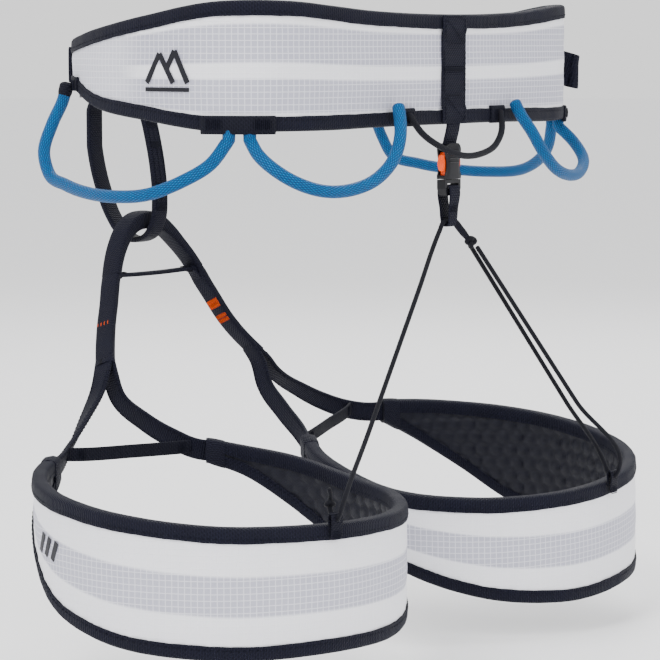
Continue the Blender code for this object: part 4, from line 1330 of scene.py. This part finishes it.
def decal(build, wall, s0, z0, line, width, proud=1.15):
    """A thick printed line on the outer fabric, given as offsets along the wall and in height."""
    points = np.array(line, float)
    run = run_of(points)
    fine = np.linspace(0, run[-1], max(int(run[-1] / 1.2), 3))
    middle = np.stack([np.interp(fine, run, column) for column in points.T], 1)
    side = np.gradient(middle, axis=0)
    side = np.stack([-side[:, 1], side[:, 0]], 1) / np.linalg.norm(side, axis=1)[:, None]
    rings = []
    for point, across in zip(middle, side):
        one, two = point + across * width / 2, point - across * width / 2
        corners = ((one, proud), (one, proud + 0.25), (two, proud + 0.25), (two, proud))
        rings.append([wall.place(s0 + p[0], depth, z0 + p[1]) for p, depth in corners])
    build.add(rings)


def add_marks(belt):
    """A plain pair of peaks on the belt and three plain bars on the left leg loop."""
    build = Build()
    s0 = belt.nearest(158, -4)
    for line in (((-13, -8), (-4, 7), (5, -8)), ((0.5, -1.5), (6, 8.5), (14, -8))):
        for a, b in zip(line, line[1:]):
            decal(build, belt, s0, 1.0, (a, b), 3.0)
    decal(build, belt, s0, 1.0, ((-14, -11.5), (15, -11.5)), 2.2)
    build.make("belt_print", "waist", "print", sharp=40)
    leg = leg_wall("left")
    bars = Build()
    s0 = leg.nearest(*leg_plan(63, LEG_RADIUS))
    for k in range(3):
        decal(bars, leg, s0 + 7.5 * k, -246 - 1.2 * k, ((-2.4, -5), (2.4, 5)), 3.6)
    bars.make("leg_print", "leg_left", "print", sharp=40)


def dress_frame():
    """Better materials for the frame's own hard pieces."""
    looks = {
        "waist_buckle_frame": "metal",
        "waist_buckle_slider": "metal",
        "buckle_plug": "plastic",
        "release_prong_left": "orange",
        "release_prong_right": "orange",
    }
    for node, look in looks.items():
        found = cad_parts[node]
        obj = found if hasattr(found, "material_slots") else bpy.data.objects[node]
        for slot in obj.material_slots:
            slot.material = LOOKS[look]


# --- stage ---


def add_stage():
    mesh = bpy.data.meshes.new("floor")
    made = bmesh.new()
    bmesh.ops.create_circle(made, cap_ends=True, segments=64, radius=14)
    made.to_mesh(mesh)
    made.free()
    pale = bpy.data.materials.new("pale_floor")
    pale.use_nodes = True
    inputs = pale.node_tree.nodes["Principled BSDF"].inputs
    inputs["Base Color"].default_value = (0.96, 0.96, 0.97, 1)
    inputs["Roughness"].default_value = 0.9
    mesh.materials.append(pale)
    floor = bpy.data.objects.new("floor", mesh)
    bpy.context.scene.collection.objects.link(floor)
    floor.location.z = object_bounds()[0][2] - 0.02


def area_light(name, place, power, size, target=(0, 0, -0.14)):
    data = bpy.data.lights.new(name, "AREA")
    data.energy = power
    data.shape = "DISK"
    data.size = size
    light = bpy.data.objects.new(name, data)
    bpy.context.scene.collection.objects.link(light)
    light.location = place
    light.rotation_euler = (Vector(target) - Vector(place)).to_track_quat("-Z", "Y").to_euler()


def around(azimuth, elevation, distance):
    """A place seen from the origin at an azimuth and an elevation, in degrees."""
    a, e = math.radians(azimuth), math.radians(elevation)
    level = distance * math.cos(e)
    return (level * math.sin(a), -level * math.cos(a), distance * math.sin(e))


def add_lights():
    world = bpy.data.worlds.new("studio")
    bpy.context.scene.world = world
    world.use_nodes = True
    world.node_tree.nodes["Background"].inputs[0].default_value = (1, 1, 1, 1)
    world.node_tree.nodes["Background"].inputs[1].default_value = 1.3
    area_light("key", around(95, 38, 1.7), 20, 0.9)
    area_light("fill", around(170, 25, 1.8), 11, 1.1)
    area_light("top", (0.05, 0.05, 1.6), 15, 1.2)
    area_light("inner", around(300, 30, 1.8), 10, 1.0)


def add_camera():
    back = Vector(around(*CAMERA_ANGLES, 1))
    right = Vector(around(CAMERA_ANGLES[0] + 90, 0, 1))
    data = bpy.data.cameras.new("camera")
    data.sensor_width = 36
    data.lens = CAMERA_LENS
    camera = bpy.data.objects.new("camera", data)
    bpy.context.scene.collection.objects.link(camera)
    place = Matrix((right, back.cross(right), back)).transposed().to_4x4()
    place.translation = CAMERA_TARGET + back * CAMERA_DISTANCE
    camera.matrix_world = place
    bpy.context.scene.camera = camera


def main():
    add_camera()
    belt = add_walls()
    add_back_strap(belt)
    add_waist_strap(belt)
    keeper_ring(belt)
    add_tie_in()
    add_belay_loop()
    add_bridge()
    for side in ("left", "right"):
        add_stem(side)
        add_leg_straps(side)
    add_gear_loops(belt)
    add_haul_loop(belt)
    add_rear_buckle()
    add_plug_webbing()
    add_riser_tab("left", LEFT_TAB_ANGLE)
    add_riser_tab("right", RIGHT_TAB_ANGLE)
    add_riser_cords()
    add_marks(belt)
    dress_frame()
    add_stage()
    add_lights()


main()
